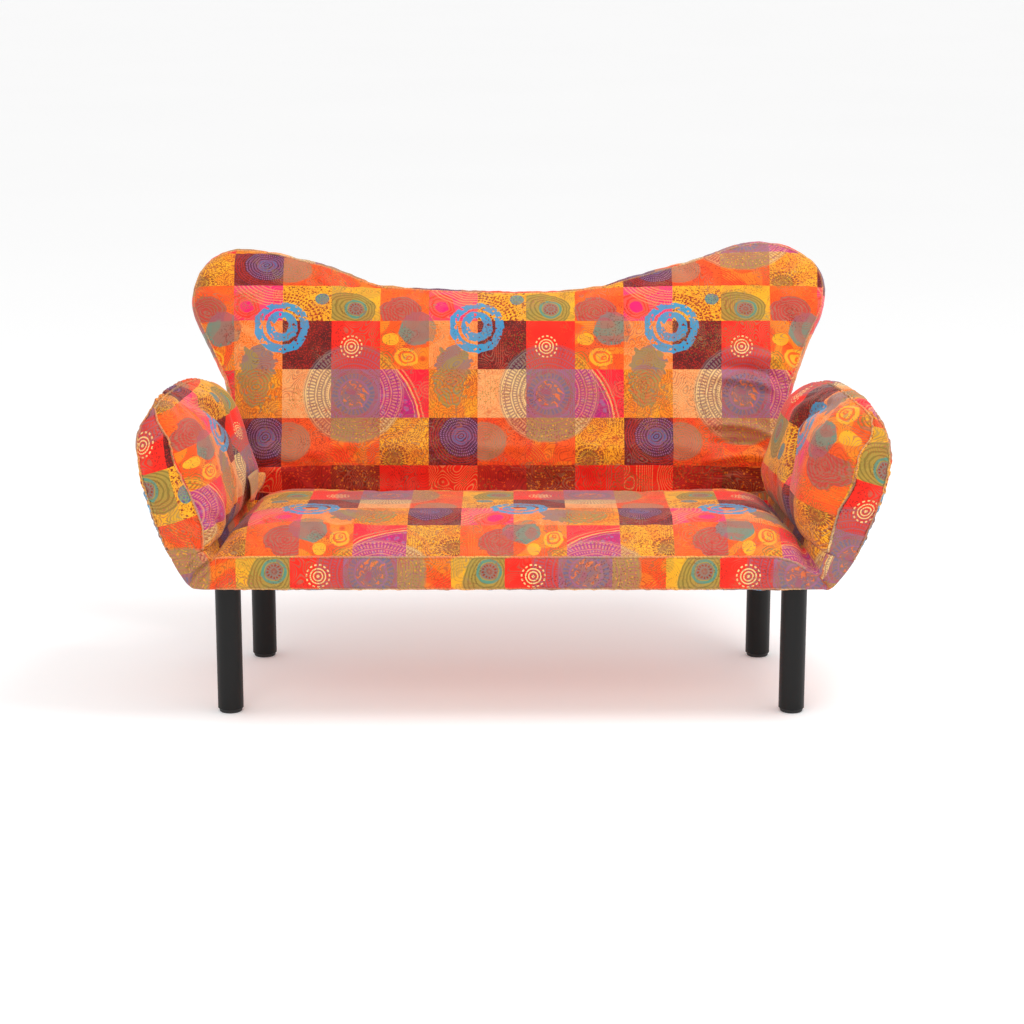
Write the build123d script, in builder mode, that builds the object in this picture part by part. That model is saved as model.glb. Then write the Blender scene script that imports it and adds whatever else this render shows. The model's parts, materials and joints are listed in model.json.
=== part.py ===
from build123d import *
from math import cos, pi, radians, sin, tan
import os

os.makedirs("parts", exist_ok=True)

# Sofa bed whose two arms and back fold down flat on ratchet hinges.
# Front faces -Y, +X runs along the seat, the origin is on the floor in the middle.
# All lengths are in millimetres and all angles in degrees.

# Driving sizes
HINGE_HEIGHT = 319  # floor to the three hinge lines
PANEL_THICKNESS = 70  # seat, arms and back, at their edges
SEAT_DEPTH = 565  # front face to the back's hinge line
SEAT_WIDTH = 1296  # between the arms' hinge lines at the front
ARM_SPLAY = 4.5  # turn of each arm's hinge line towards the middle
REST_RAISE = 72  # arms and back above the flat bed position
ARM_LENGTH = 352  # hinge line to the arm's tip at the front
ARM_REAR_LENGTH = 315  # hinge line to the arm's tip at the rear
ARM_DEPTH = 512
BACK_HEIGHT = 605  # hinge line to the top of each ear
BACK_DIP_HEIGHT = 498  # hinge line to the low middle of the top edge
BACK_WIDTH = 1434  # across the ears
BACK_FOOT_WIDTH = 1184  # across the lower edge

# Padding and cloth
HALF = PANEL_THICKNESS / 2
HINGE_GAP = 4  # between the seat's rounded edge and a folding panel's end
CRISP_ROUND = 6  # small round of an edge that stays square
COVER_WALL = 3
PAD_FIT = 0.3  # between cloth, foam and frame
CUT_OVERRUN = 20  # past a face that a cut opens
ROUND_STEPS = 4  # facets in a quarter of a rounded edge
SEAT_CROWN = 46
SEAT_CROWN_REACH = 130
SEAT_SHELF = 28
ARM_INNER_CROWN = 40
ARM_OUTER_CROWN = 10
ARM_CROWN_REACH = 100
BACK_FRONT_CROWN = 16
BACK_REAR_CROWN = 8
BACK_CROWN_REACH = 90
CROWN_SHARES = ((0.20, 0.08), (0.42, 0.22), (0.68, 0.45), (0.90, 0.74), (1.00, 1.00))

# Corner rounds of the panels' outlines
SEAT_FRONT_CORNER = 8
SEAT_REAR_CORNER = 40
ARM_FRONT_TIP_CORNER = 45
ARM_REAR_TIP_CORNER = 90
ARM_FRONT_HINGE_CORNER = 12
ARM_REAR_HINGE_CORNER = 10

# Steel frames
TUBE = 25
TUBE_WALL = 1.5
TUBE_DROP = 14.5  # tube centres below the hinge line's level in each panel
SEAT_FRAME_FRONT = 34  # front face to the front tube's centre
SEAT_CROSS_SPACING = 420
ARM_FRAME_SHARES = ((0.80, 0.00), (0.77, 0.82), (0.58, 1.00))
BACK_FRAME_SHARES = ((0.80, 0.38), (0.912, 0.745), (0.84, 0.885), (0.418, 0.797))
BACK_FRAME_FOOT_SHARE = 0.76
BACK_FRAME_DIP_SHARE = 0.754
BACK_CROSS_SPACING = 540

# Folding hinges
LEAF = 4
LEAF_GAP = 0.4  # running gap between the two leaves
EYE_RADIUS = 16
PIVOT_RADIUS = 4
PIVOT_FIT = 0.08
PIVOT_HEAD_RADIUS = 7
PIVOT_HEAD = 2.5
BASE_REACH = 31.5  # hinge line to the seat tube's face
SWING_REACH = 47.5  # hinge line to the folding panel's tube face
FLANGE_LENGTH = 60
RATCHET_RADIUS = 17
RATCHET_ROOT_SHARE = 0.82
RATCHET_TEETH = 18
PAWL_CLEARANCE = 0.4
PAWL_NOSE_RADIUS = 1
PAWL_NOSE_ANGLE = 170
PAWL_BOSS_RADIUS = 4
PAWL_BOSS_ANGLE = 202
PAWL_BOSS_DISTANCE = 24.2
PAWL_PIN_RADIUS = 2
ARM_HINGE_DEPTHS = (135, 420)
BACK_HINGE_SPACING = 860

# Bolts and legs
BOLT_RADIUS = 3
BOLT_HEAD_RADIUS = 5
BOLT_HEAD = 4
BOLT_SPACING = 42
BOLT_REACH = 10  # inside the tube
BOLT_FIT = 0.15
LEG_RADIUS = 27
LEG_CHAMFER = 1.5
LEG_FRONT = (592, 75)  # out from the middle, back from the front face
LEG_REAR = (560, 490)
LEG_PLATE = 90
LEG_PLATE_THICKNESS = 4
LEG_BOLT_RADIUS = 5
LEG_BOLT_DEPTH = 45  # inside the leg
LEG_BOLT_END = 4  # above the leg plate
GLIDE_RADIUS = 24
GLIDE_HEIGHT = 7
GLIDE_ROUND = 3
GLIDE_STEM_RADIUS = 6
GLIDE_STEM = 12

# Seat springs, webbing and pads
SPRING_WIRE = 3.8
SPRING_COUNT = 7
SPRING_SPACING = 165
SPRING_HALF_WIDTH = 30
SPRING_ROWS = 13
SPRING_BEND = 14
CLIP_SHEET = 1.5
CLIP_WIDTH = 24
CLIP_LIP = 9
WIRE_FIT = 0.2
FELT = 2.5
WEB_THICKNESS = 2
WEB_WIDTH = 50
ARM_WEB_COUNT = 3
ARM_WEB_SPACING = 130
BACK_WEB_COUNT = 7
BACK_WEB_SPACING = 150
UNDERPAD = 4

# Places that follow from the sizes
LEAN = radians(90 - REST_RAISE)
SPLAY = radians(ARM_SPLAY)
FRONT_Y = -(SEAT_DEPTH + (BACK_HEIGHT - HALF) * sin(LEAN) + HALF) / 2
PANEL_START = HALF + HINGE_GAP
FRAME_BOTTOM = -TUBE_DROP - TUBE / 2
FRAME_TOP = FRAME_BOTTOM + TUBE
BASE_CENTRE = BASE_REACH + TUBE / 2
SWING_CENTRE = SWING_REACH + TUBE / 2
CLIP_INSIDE = SPRING_WIRE + 2 * WIRE_FIT
CLIP_HEIGHT = CLIP_INSIDE + 2 * CLIP_SHEET
FELT_BOTTOM = FRAME_TOP + CLIP_HEIGHT + WIRE_FIT
SEAT_POCKET_TOP = FELT_BOTTOM + FELT + PAD_FIT
WEB_POCKET_TOP = FRAME_TOP + WEB_THICKNESS + PAD_FIT
UNDERPAD_BOTTOM = FRAME_BOTTOM - UNDERPAD - PAD_FIT
LEG_TOP = HINGE_HEIGHT - HALF

seat_plane = Plane(origin=(0, FRONT_Y, HINGE_HEIGHT))
arm_hinge = Plane(
    origin=(SEAT_WIDTH / 2, FRONT_Y, HINGE_HEIGHT),
    x_dir=(cos(SPLAY), sin(SPLAY), 0),
    z_dir=(sin(SPLAY), -cos(SPLAY), 0),
)
back_hinge = Plane(
    origin=(0, FRONT_Y + SEAT_DEPTH, HINGE_HEIGHT),
    x_dir=(0, 1, 0),
    z_dir=(1, 0, 0),
)


def raised(hinge):
    """The hinge plane turned about its own Z, from flat to the rest position."""
    turn = radians(REST_RAISE)
    out = hinge.x_dir * cos(turn) + hinge.y_dir * sin(turn)
    return Plane(origin=hinge.origin, x_dir=out, z_dir=hinge.z_dir)


arm_raised = raised(arm_hinge)
back_raised = raised(back_hinge)
arm_plane = Plane(origin=arm_raised.origin, x_dir=arm_raised.x_dir, z_dir=arm_raised.y_dir)
back_plane = Plane(origin=back_raised.origin, x_dir=back_raised.z_dir, z_dir=back_raised.y_dir)

arm_bases = [arm_hinge.offset(-depth) for depth in ARM_HINGE_DEPTHS]
arm_swings = [arm_raised.offset(-depth) for depth in ARM_HINGE_DEPTHS]
back_bases = [back_hinge.offset(side * BACK_HINGE_SPACING / 2) for side in (-1, 1)]
back_swings = [back_raised.offset(side * BACK_HINGE_SPACING / 2) for side in (-1, 1)]
leg_places = {
    "front_left": (-LEG_FRONT[0], LEG_FRONT[1]),
    "front_right": LEG_FRONT,
    "rear_left": (-LEG_REAR[0], LEG_REAR[1]),
    "rear_right": LEG_REAR,
}


def save(piece, name):
    """Name one finished piece and write it out."""
    piece.part.label = name
    export_step(piece.part, f"parts/{name}.step")


# Outlines of the padded panels

def squeezed(value, low, high, low_inset, high_inset):
    """Place of a value once its range is drawn in at both ends."""
    share = (value - low) / (high - low)
    return low + low_inset + share * (high - low - low_inset - high_inset)


def seat_outline(edge, crisp):
    """Seat from above: square front, rounded sides that follow the arms' hinge lines."""
    rear = SEAT_DEPTH + HALF - edge
    out = (HALF - edge) / cos(SPLAY)
    front_half = SEAT_WIDTH / 2 - crisp * tan(SPLAY) + out
    rear_half = SEAT_WIDTH / 2 - rear * tan(SPLAY) + out
    corners = [(-front_half, crisp), (front_half, crisp), (rear_half, rear), (-rear_half, rear)]
    drawn = 1 - edge / SEAT_DEPTH
    radii = [SEAT_FRONT_CORNER, SEAT_FRONT_CORNER, SEAT_REAR_CORNER, SEAT_REAR_CORNER]
    with BuildSketch() as outline:
        with BuildLine():
            FilletPolyline(*corners, radius=[radius * drawn for radius in radii], close=True)
        make_face()
    return outline.sketch


def arm_outline(edge, crisp):
    """Arm seen from inside: length from its hinge line, depth from the front."""
    def corner(length, depth):
        return (
            squeezed(length, PANEL_START, ARM_LENGTH, crisp, edge),
            squeezed(depth, 0, ARM_DEPTH, crisp, edge),
        )
    corners = [
        corner(PANEL_START, 0),
        corner(ARM_LENGTH, 0),
        corner(ARM_REAR_LENGTH, ARM_DEPTH),
        corner(PANEL_START, ARM_DEPTH),
    ]
    drawn = 1 - (edge + crisp) / (ARM_LENGTH - PANEL_START)
    radii = [
        ARM_FRONT_HINGE_CORNER,
        ARM_FRONT_TIP_CORNER,
        ARM_REAR_TIP_CORNER,
        ARM_REAR_HINGE_CORNER,
    ]
    with BuildSketch() as outline:
        with BuildLine():
            FilletPolyline(*corners, radius=[radius * drawn for radius in radii], close=True)
        make_face()
    return outline.sketch


# Points of the back's right half, as shares of half its width and of its height
BACK_WAIST_SHARE = (0.868, 0.379)
BACK_FLARE_SHARE = (0.993, 0.752)
BACK_EAR_SHARE = (0.962, 0.936)
BACK_BROW_SHARE = (0.767, 0.975)


def back_outline(edge, crisp):
    """Back from the front: narrow foot, flared sides and two ears beside a low middle."""
    half_width = BACK_WIDTH / 2

    def point(side, across, height):
        return (
            side * across * (1 - edge / half_width),
            squeezed(height, PANEL_START, BACK_HEIGHT, crisp, edge),
        )

    def shared(side, share):
        return point(side, share[0] * half_width, share[1] * BACK_HEIGHT)

    foot = [point(side, BACK_FOOT_WIDTH / 2, PANEL_START) for side in (-1, 1)]
    waist = [shared(side, BACK_WAIST_SHARE) for side in (-1, 1)]
    flare = [shared(side, BACK_FLARE_SHARE) for side in (-1, 1)]
    ear = [shared(side, BACK_EAR_SHARE) for side in (-1, 1)]
    brow = [shared(side, BACK_BROW_SHARE) for side in (-1, 1)]
    with BuildSketch() as outline:
        with BuildLine():
            Line(foot[0], foot[1])
            ThreePointArc(foot[1], waist[1], flare[1])
            ThreePointArc(flare[1], ear[1], brow[1])
            ThreePointArc(brow[1], point(1, 0, BACK_DIP_HEIGHT), brow[0])
            ThreePointArc(brow[0], ear[0], flare[0])
            ThreePointArc(flare[0], waist[0], foot[0])
        make_face()
    return outline.sketch


# Padded panels

def crown_levels(skin, crown, reach, side, shelf=0):
    """Levels of one domed face, as height, inset of round edges and inset of crisp edges.

    Beside a hinge the seat stays flat for the shelf, because the folding panels come down there."""
    flat = HALF - skin
    return [
        (
            side * (flat + crown * rise),
            HALF + shelf + reach * inward,
            skin + CRISP_ROUND + reach * inward,
        )
        for rise, inward in CROWN_SHARES
    ]


def round_levels(skin):
    """Levels of the rounded edge, a half circle from the lower face to the upper one."""
    radius = HALF - skin
    found = []
    for step in range(-ROUND_STEPS, ROUND_STEPS + 1):
        turn = pi / 2 * step / ROUND_STEPS
        found.append((
            radius * sin(turn),
            HALF - radius * cos(turn),
            skin + CRISP_ROUND * (1 - cos(turn)),
        ))
    return found


def panel(plane, outline, levels):
    """One padded panel, lofted through its outline at each level."""
    with BuildPart() as body:
        for height, edge, crisp in levels:
            with BuildSketch(plane.offset(height)):
                add(outline(edge, crisp))
        loft(ruled=True)
    return body.part


def seat_panel(skin):
    upper = crown_levels(skin, SEAT_CROWN, SEAT_CROWN_REACH, 1, SEAT_SHELF)
    return panel(seat_plane, seat_outline, round_levels(skin) + upper)


def arm_panel(skin):
    lower = crown_levels(skin, ARM_OUTER_CROWN, ARM_CROWN_REACH, -1)
    upper = crown_levels(skin, ARM_INNER_CROWN, ARM_CROWN_REACH, 1)
    return panel(arm_plane, arm_outline, lower[::-1] + round_levels(skin) + upper)


def back_panel(skin):
    lower = crown_levels(skin, BACK_REAR_CROWN, BACK_CROWN_REACH, -1)
    upper = crown_levels(skin, BACK_FRONT_CROWN, BACK_CROWN_REACH, 1)
    return panel(back_plane, back_outline, lower[::-1] + round_levels(skin) + upper)


# Centre lines of the frames' tubes

def seat_frame_half(depth):
    """Half the distance between the side tubes' centre lines."""
    return SEAT_WIDTH / 2 - depth * tan(SPLAY) - BASE_CENTRE / cos(SPLAY)


SEAT_FRAME_REAR = SEAT_DEPTH - BASE_CENTRE
seat_ring = [
    (-seat_frame_half(SEAT_FRAME_FRONT), SEAT_FRAME_FRONT),
    (seat_frame_half(SEAT_FRAME_FRONT), SEAT_FRAME_FRONT),
    (seat_frame_half(SEAT_FRAME_REAR), SEAT_FRAME_REAR),
    (-seat_frame_half(SEAT_FRAME_REAR), SEAT_FRAME_REAR),
]
ARM_FRAME_REAR = ARM_DEPTH - SEAT_FRAME_FRONT
arm_tips = [
    (length * ARM_LENGTH, SEAT_FRAME_FRONT + depth * (ARM_FRAME_REAR - SEAT_FRAME_FRONT))
    for length, depth in ARM_FRAME_SHARES
]
arm_ring = [(SWING_CENTRE, SEAT_FRAME_FRONT), *arm_tips, (SWING_CENTRE, ARM_FRAME_REAR)]
back_side = [
    (across * BACK_WIDTH / 2, height * BACK_HEIGHT) for across, height in BACK_FRAME_SHARES
]
back_foot = (BACK_FRAME_FOOT_SHARE * BACK_WIDTH / 2, SWING_CENTRE)
back_dip = (0, BACK_FRAME_DIP_SHARE * BACK_HEIGHT)
back_ring = [
    (-back_foot[0], back_foot[1]),
    back_foot,
    *back_side,
    back_dip,
    *[(-across, height) for across, height in reversed(back_side)],
]


def along(path, across):
    """Height of a path of points at one place across it."""
    for (low_x, low_y), (high_x, high_y) in zip(path, path[1:]):
        if low_x <= across <= high_x:
            return low_y + (high_y - low_y) * (across - low_x) / (high_x - low_x)
    return path[-1][1]


back_top_path = [back_dip, *reversed(back_side[-2:])]
arm_tip_path = [(depth, length) for length, depth in arm_tips]


def filled(ring, grow):
    """The area inside a ring of points, grown past them on every side."""
    with BuildSketch() as area:
        with BuildLine():
            Polyline(*ring, close=True)
        make_face()
        offset(amount=grow, kind=Kind.INTERSECTION)
    return area.sketch


def strip(start, end, width):
    """A straight strip whose centre line runs between two points."""
    run = Vector(*end) - Vector(*start)
    side = Vector(-run.Y, run.X) * (width / 2 / run.length)
    first = Vector(*start)
    last = Vector(*end)
    with BuildSketch() as area:
        with BuildLine():
            Polyline(first + side, first - side, last - side, last + side, close=True)
        make_face()
    return area.sketch


def tube_frame(plane, ring, crossings):
    """Square tube along a ring of points, with straight tubes welded across it."""
    with BuildPart() as frame:
        for inward, mode in ((0, Mode.ADD), (TUBE_WALL, Mode.SUBTRACT)):
            width = TUBE - 2 * inward
            with BuildSketch(plane.offset(FRAME_BOTTOM + inward)):
                add(filled(ring, width / 2))
                add(filled(ring, -width / 2), mode=Mode.SUBTRACT)
                for start, end in crossings:
                    add(strip(start, end, width))
            extrude(amount=width, mode=mode)
    return frame.part


def pocket(plane, ring, top):
    """Room for a frame and what lies on it, open at the panel's lower face."""
    with BuildPart() as room:
        with BuildSketch(plane.offset(-HALF - CUT_OVERRUN)):
            add(filled(ring, TUBE / 2 + PAD_FIT))
        extrude(amount=HALF + CUT_OVERRUN + top)
    return room.part


# Folding hinges, drawn with the hinge line along the plane's Z

BASE_FACE = -(BASE_REACH - LEAF)
SWING_FACE = SWING_REACH - LEAF
BASE_BOTTOM = -LEAF_GAP / 2 - LEAF
SWING_BOTTOM = LEAF_GAP / 2
RATCHET_BOTTOM = SWING_BOTTOM + LEAF
RATCHET_TOP = RATCHET_BOTTOM + LEAF
PIN_TOP = RATCHET_TOP + LEAF_GAP
ROOM_LOW = BASE_BOTTOM - PIVOT_HEAD - HINGE_GAP / 2
ROOM_HIGH = PIN_TOP + PIVOT_HEAD + HINGE_GAP / 2


def polar(distance, angle):
    return (distance * cos(radians(angle)), distance * sin(radians(angle)))


PAWL_NOSE = polar(RATCHET_RADIUS + PAWL_CLEARANCE + PAWL_NOSE_RADIUS, PAWL_NOSE_ANGLE)
PAWL_BOSS = polar(PAWL_BOSS_DISTANCE, PAWL_BOSS_ANGLE)


def bolt_plane(hinge, face, spot):
    """Plane on a flange's face where a bolt head sits, facing into the tube."""
    away = -1 if face < 0 else 1
    return Plane(
        origin=hinge.from_local_coords(Vector(face, -TUBE_DROP, spot)),
        x_dir=hinge.z_dir,
        z_dir=hinge.x_dir * away,
    )


def bolt_planes(hinges, face):
    spots = (-BOLT_SPACING / 2, BOLT_SPACING / 2)
    return [bolt_plane(hinge, face, spot) for hinge in hinges for spot in spots]


def shanks(hinges, face, radius):
    """Bolt shanks, or the holes that take them, from the flange into the tube."""
    with BuildPart() as rods:
        for place in bolt_planes(hinges, face):
            with BuildSketch(place):
                Circle(radius)
            extrude(amount=LEAF + TUBE_WALL + BOLT_REACH)
    return rods.part


def bolts(hinges, face):
    with BuildPart() as fixings:
        add(shanks(hinges, face, BOLT_RADIUS))
        for place in bolt_planes(hinges, face):
            with BuildSketch(place):
                RegularPolygon(BOLT_HEAD_RADIUS, 6)
            extrude(amount=-BOLT_HEAD)
    return fixings.part


def leaves(hinges, face, bottom):
    """Hinge leaves: an eye round the pivot, a web and a flange bolted to a tube."""
    away = -1 if face < 0 else 1
    middle = face + away * LEAF / 2
    with BuildPart() as leaf:
        for hinge in hinges:
            with BuildSketch(hinge.offset(bottom)):
                Circle(EYE_RADIUS)
                with Locations((middle, -TUBE_DROP)):
                    Rectangle(LEAF, TUBE)
                make_hull()
            extrude(amount=LEAF)
            with BuildSketch(hinge.offset(-FLANGE_LENGTH / 2)):
                with Locations((middle, -TUBE_DROP)):
                    Rectangle(LEAF, TUBE)
            extrude(amount=FLANGE_LENGTH)
            with BuildSketch(hinge.offset(bottom)):
                Circle(PIVOT_RADIUS + PIVOT_FIT)
            extrude(amount=LEAF, mode=Mode.SUBTRACT)
        add(shanks(hinges, face, BOLT_RADIUS + BOLT_FIT), mode=Mode.SUBTRACT)
    return leaf.part


def base_leaves(hinges):
    """Leaves on the seat, which carry the pawl pins too."""
    with BuildPart() as leaf:
        add(leaves(hinges, BASE_FACE, BASE_BOTTOM))
        for hinge in hinges:
            with BuildSketch(hinge.offset(BASE_BOTTOM)):
                with Locations(PAWL_BOSS):
                    Circle(PAWL_PIN_RADIUS + PIVOT_FIT)
            extrude(amount=LEAF, mode=Mode.SUBTRACT)
    return leaf.part


def ratchets(hinges):
    """Toothed wheels on the folding leaves."""
    step = 360 / RATCHET_TEETH
    teeth = []
    for tooth in range(RATCHET_TEETH):
        teeth.append(polar(RATCHET_RADIUS, tooth * step))
        teeth.append(polar(RATCHET_RADIUS * RATCHET_ROOT_SHARE, (tooth + RATCHET_ROOT_SHARE) * step))
    with BuildPart() as wheels:
        for hinge in hinges:
            with BuildSketch(hinge.offset(RATCHET_BOTTOM)):
                with BuildLine():
                    Polyline(*teeth, close=True)
                make_face()
                Circle(PIVOT_RADIUS + PIVOT_FIT, mode=Mode.SUBTRACT)
            extrude(amount=LEAF)
    return wheels.part


def pawls(hinges):
    """Catches that drop into the teeth, each on its own pin."""
    with BuildPart() as catches:
        for hinge in hinges:
            with BuildSketch(hinge.offset(RATCHET_BOTTOM)):
                with Locations(PAWL_BOSS):
                    Circle(PAWL_BOSS_RADIUS)
                with Locations(PAWL_NOSE):
                    Circle(PAWL_NOSE_RADIUS)
                make_hull()
                with Locations(PAWL_BOSS):
                    Circle(PAWL_PIN_RADIUS + PIVOT_FIT, mode=Mode.SUBTRACT)
            extrude(amount=LEAF)
    return catches.part


def rivets(hinges):
    """Pivot rivets on the hinge lines, and the pins that the pawls turn on."""
    pins = (((0, 0), PIVOT_RADIUS, PIVOT_HEAD_RADIUS), (PAWL_BOSS, PAWL_PIN_RADIUS, PAWL_BOSS_RADIUS))
    with BuildPart() as pieces:
        for hinge in hinges:
            for place, radius, head in pins:
                with BuildSketch(hinge.offset(BASE_BOTTOM)):
                    with Locations(place):
                        Circle(radius)
                extrude(amount=PIN_TOP - BASE_BOTTOM)
                with BuildSketch(hinge.offset(BASE_BOTTOM - PIVOT_HEAD)):
                    with Locations(place):
                        Circle(head)
                extrude(amount=PIVOT_HEAD)
                with BuildSketch(hinge.offset(PIN_TOP)):
                    with Locations(place):
                        Circle(head)
                extrude(amount=PIVOT_HEAD)
    return pieces.part


def block(hinge, left, right, low, high, start, end):
    """A box in a hinge's own frame, between named limits on its three axes."""
    with BuildPart() as room:
        with BuildSketch(hinge.offset(start)):
            with Locations(((left + right) / 2, (low + high) / 2)):
                Rectangle(right - left, high - low)
        extrude(amount=end - start)
    return room.part


FLANGE_ROOM = FLANGE_LENGTH / 2 + PAD_FIT
SLOT_OUT = PANEL_START + CUT_OVERRUN
SLOT_HEIGHT = HALF + SEAT_CROWN + CUT_OVERRUN


def base_rooms(hinges):
    """Slots in the seat's edge for the turning leaves, and pockets for the flanges."""
    head_room = BASE_FACE + BOLT_HEAD + PAD_FIT
    with BuildPart() as rooms:
        for hinge in hinges:
            add(block(hinge, -BASE_REACH, SLOT_OUT, -SLOT_HEIGHT, SLOT_HEIGHT, ROOM_LOW, ROOM_HIGH))
            add(block(
                hinge, -BASE_REACH, head_room, FRAME_BOTTOM - PAD_FIT, FRAME_TOP + PAD_FIT,
                -FLANGE_ROOM, FLANGE_ROOM,
            ))
    return rooms.part


def swing_rooms(hinges):
    """Windows in a folding panel's end for the leaf, its flange and bolt heads."""
    with BuildPart() as rooms:
        for hinge in hinges:
            add(block(
                hinge, EYE_RADIUS, SWING_REACH, FRAME_BOTTOM - PAD_FIT, FRAME_TOP + HINGE_GAP,
                -FLANGE_ROOM, FLANGE_ROOM,
            ))
    return rooms.part


# Seat

seat_rooms = base_rooms(arm_bases)
back_rooms = base_rooms(back_bases)

with BuildPart() as seat_frame:
    crossings = [
        ((side * SEAT_CROSS_SPACING / 2, SEAT_FRAME_FRONT),
         (side * SEAT_CROSS_SPACING / 2, SEAT_FRAME_REAR))
        for side in (-1, 1)
    ]
    add(tube_frame(seat_plane, seat_ring, crossings))
    arm_bolt_holes = shanks(arm_bases, BASE_FACE, BOLT_RADIUS + BOLT_FIT)
    add(arm_bolt_holes, mode=Mode.SUBTRACT)
    mirror(arm_bolt_holes, about=Plane.YZ, mode=Mode.SUBTRACT)
    add(shanks(back_bases, BASE_FACE, BOLT_RADIUS + BOLT_FIT), mode=Mode.SUBTRACT)
    with BuildSketch(seat_plane.offset(FRAME_BOTTOM)):
        with Locations(*leg_places.values()):
            Circle(LEG_BOLT_RADIUS + BOLT_FIT)
    extrude(amount=LEG_BOLT_END + TUBE_WALL, mode=Mode.SUBTRACT)
save(seat_frame, "seat_frame")

with BuildPart() as leg_plates:
    with BuildSketch(seat_plane.offset(FRAME_BOTTOM - LEG_PLATE_THICKNESS)):
        with Locations(*leg_places.values()):
            Rectangle(LEG_PLATE, LEG_PLATE)
            Circle(LEG_BOLT_RADIUS + BOLT_FIT, mode=Mode.SUBTRACT)
    extrude(amount=LEG_PLATE_THICKNESS)
save(leg_plates, "leg_plates")

with BuildPart() as seat_springs:
    wire_level = FRAME_TOP + CLIP_SHEET + WIRE_FIT + SPRING_WIRE / 2
    row_pitch = (SEAT_FRAME_REAR - SEAT_FRAME_FRONT) / (SPRING_ROWS - 1)
    turns = []
    for row in range(SPRING_ROWS):
        way = 1 if row % 2 == 0 else -1
        depth = SEAT_FRAME_FRONT + row * row_pitch
        turns.append((way * SPRING_HALF_WIDTH, depth))
        turns.append((-way * SPRING_HALF_WIDTH, depth))
    for spring in range(SPRING_COUNT):
        shift = (spring - (SPRING_COUNT - 1) / 2) * SPRING_SPACING
        with BuildLine(seat_plane.offset(wire_level)) as wire_path:
            FilletPolyline(*[(shift + across, depth) for across, depth in turns], radius=SPRING_BEND)
        with BuildSketch(Plane(origin=wire_path.line @ 0, z_dir=wire_path.line % 0)):
            Circle(SPRING_WIRE / 2)
        sweep(path=wire_path.line)
save(seat_springs, "seat_springs")

with BuildPart() as spring_clips:
    for spring in range(SPRING_COUNT):
        shift = (spring - (SPRING_COUNT - 1) / 2) * SPRING_SPACING
        for depth, way in ((SEAT_FRAME_FRONT, 1), (SEAT_FRAME_REAR, -1)):
            clip_plane = Plane(
                origin=seat_plane.from_local_coords(Vector(shift - CLIP_WIDTH / 2, depth, FRAME_TOP)),
                x_dir=(0, way, 0),
                z_dir=(way, 0, 0),
            )
            closed = -SPRING_WIRE / 2 - WIRE_FIT - CLIP_SHEET
            with BuildSketch(clip_plane):
                with Locations(((closed + CLIP_LIP) / 2, CLIP_HEIGHT / 2)):
                    Rectangle(CLIP_LIP - closed, CLIP_HEIGHT)
                with Locations(((closed + CLIP_SHEET + CLIP_LIP) / 2, CLIP_HEIGHT / 2)):
                    Rectangle(CLIP_LIP - closed - CLIP_SHEET, CLIP_INSIDE, mode=Mode.SUBTRACT)
            extrude(amount=way * CLIP_WIDTH)
save(spring_clips, "spring_clips")

with BuildPart() as seat_insulator:
    with BuildSketch(seat_plane.offset(FELT_BOTTOM)):
        add(filled(seat_ring, TUBE / 2))
    extrude(amount=FELT)
save(seat_insulator, "seat_insulator")

with BuildPart() as seat_foam:
    add(seat_panel(COVER_WALL + PAD_FIT))
    add(pocket(seat_plane, seat_ring, SEAT_POCKET_TOP), mode=Mode.SUBTRACT)
    add(seat_rooms, mode=Mode.SUBTRACT)
    mirror(seat_rooms, about=Plane.YZ, mode=Mode.SUBTRACT)
    add(back_rooms, mode=Mode.SUBTRACT)
    with BuildSketch(seat_plane.offset(-HALF)):
        with Locations(*leg_places.values()):
            Rectangle(LEG_PLATE + 2 * PAD_FIT, LEG_PLATE + 2 * PAD_FIT)
    extrude(amount=HALF + FRAME_BOTTOM, mode=Mode.SUBTRACT)
save(seat_foam, "seat_foam")

with BuildPart() as seat_underpad:
    with BuildSketch(seat_plane.offset(UNDERPAD_BOTTOM)):
        add(filled(seat_ring, TUBE / 2))
        with Locations(*leg_places.values()):
            Rectangle(LEG_PLATE + 2 * PAD_FIT, LEG_PLATE + 2 * PAD_FIT, mode=Mode.SUBTRACT)
    extrude(amount=UNDERPAD)
save(seat_underpad, "seat_underpad")

with BuildPart() as seat_cover:
    add(seat_panel(0))
    add(seat_panel(COVER_WALL), mode=Mode.SUBTRACT)
    add(seat_rooms, mode=Mode.SUBTRACT)
    mirror(seat_rooms, about=Plane.YZ, mode=Mode.SUBTRACT)
    add(back_rooms, mode=Mode.SUBTRACT)
    with BuildSketch(seat_plane.offset(-HALF)):
        with Locations(*leg_places.values()):
            Circle(LEG_BOLT_RADIUS + BOLT_FIT)
    extrude(amount=COVER_WALL, mode=Mode.SUBTRACT)
save(seat_cover, "seat_cover")

# Legs

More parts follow.
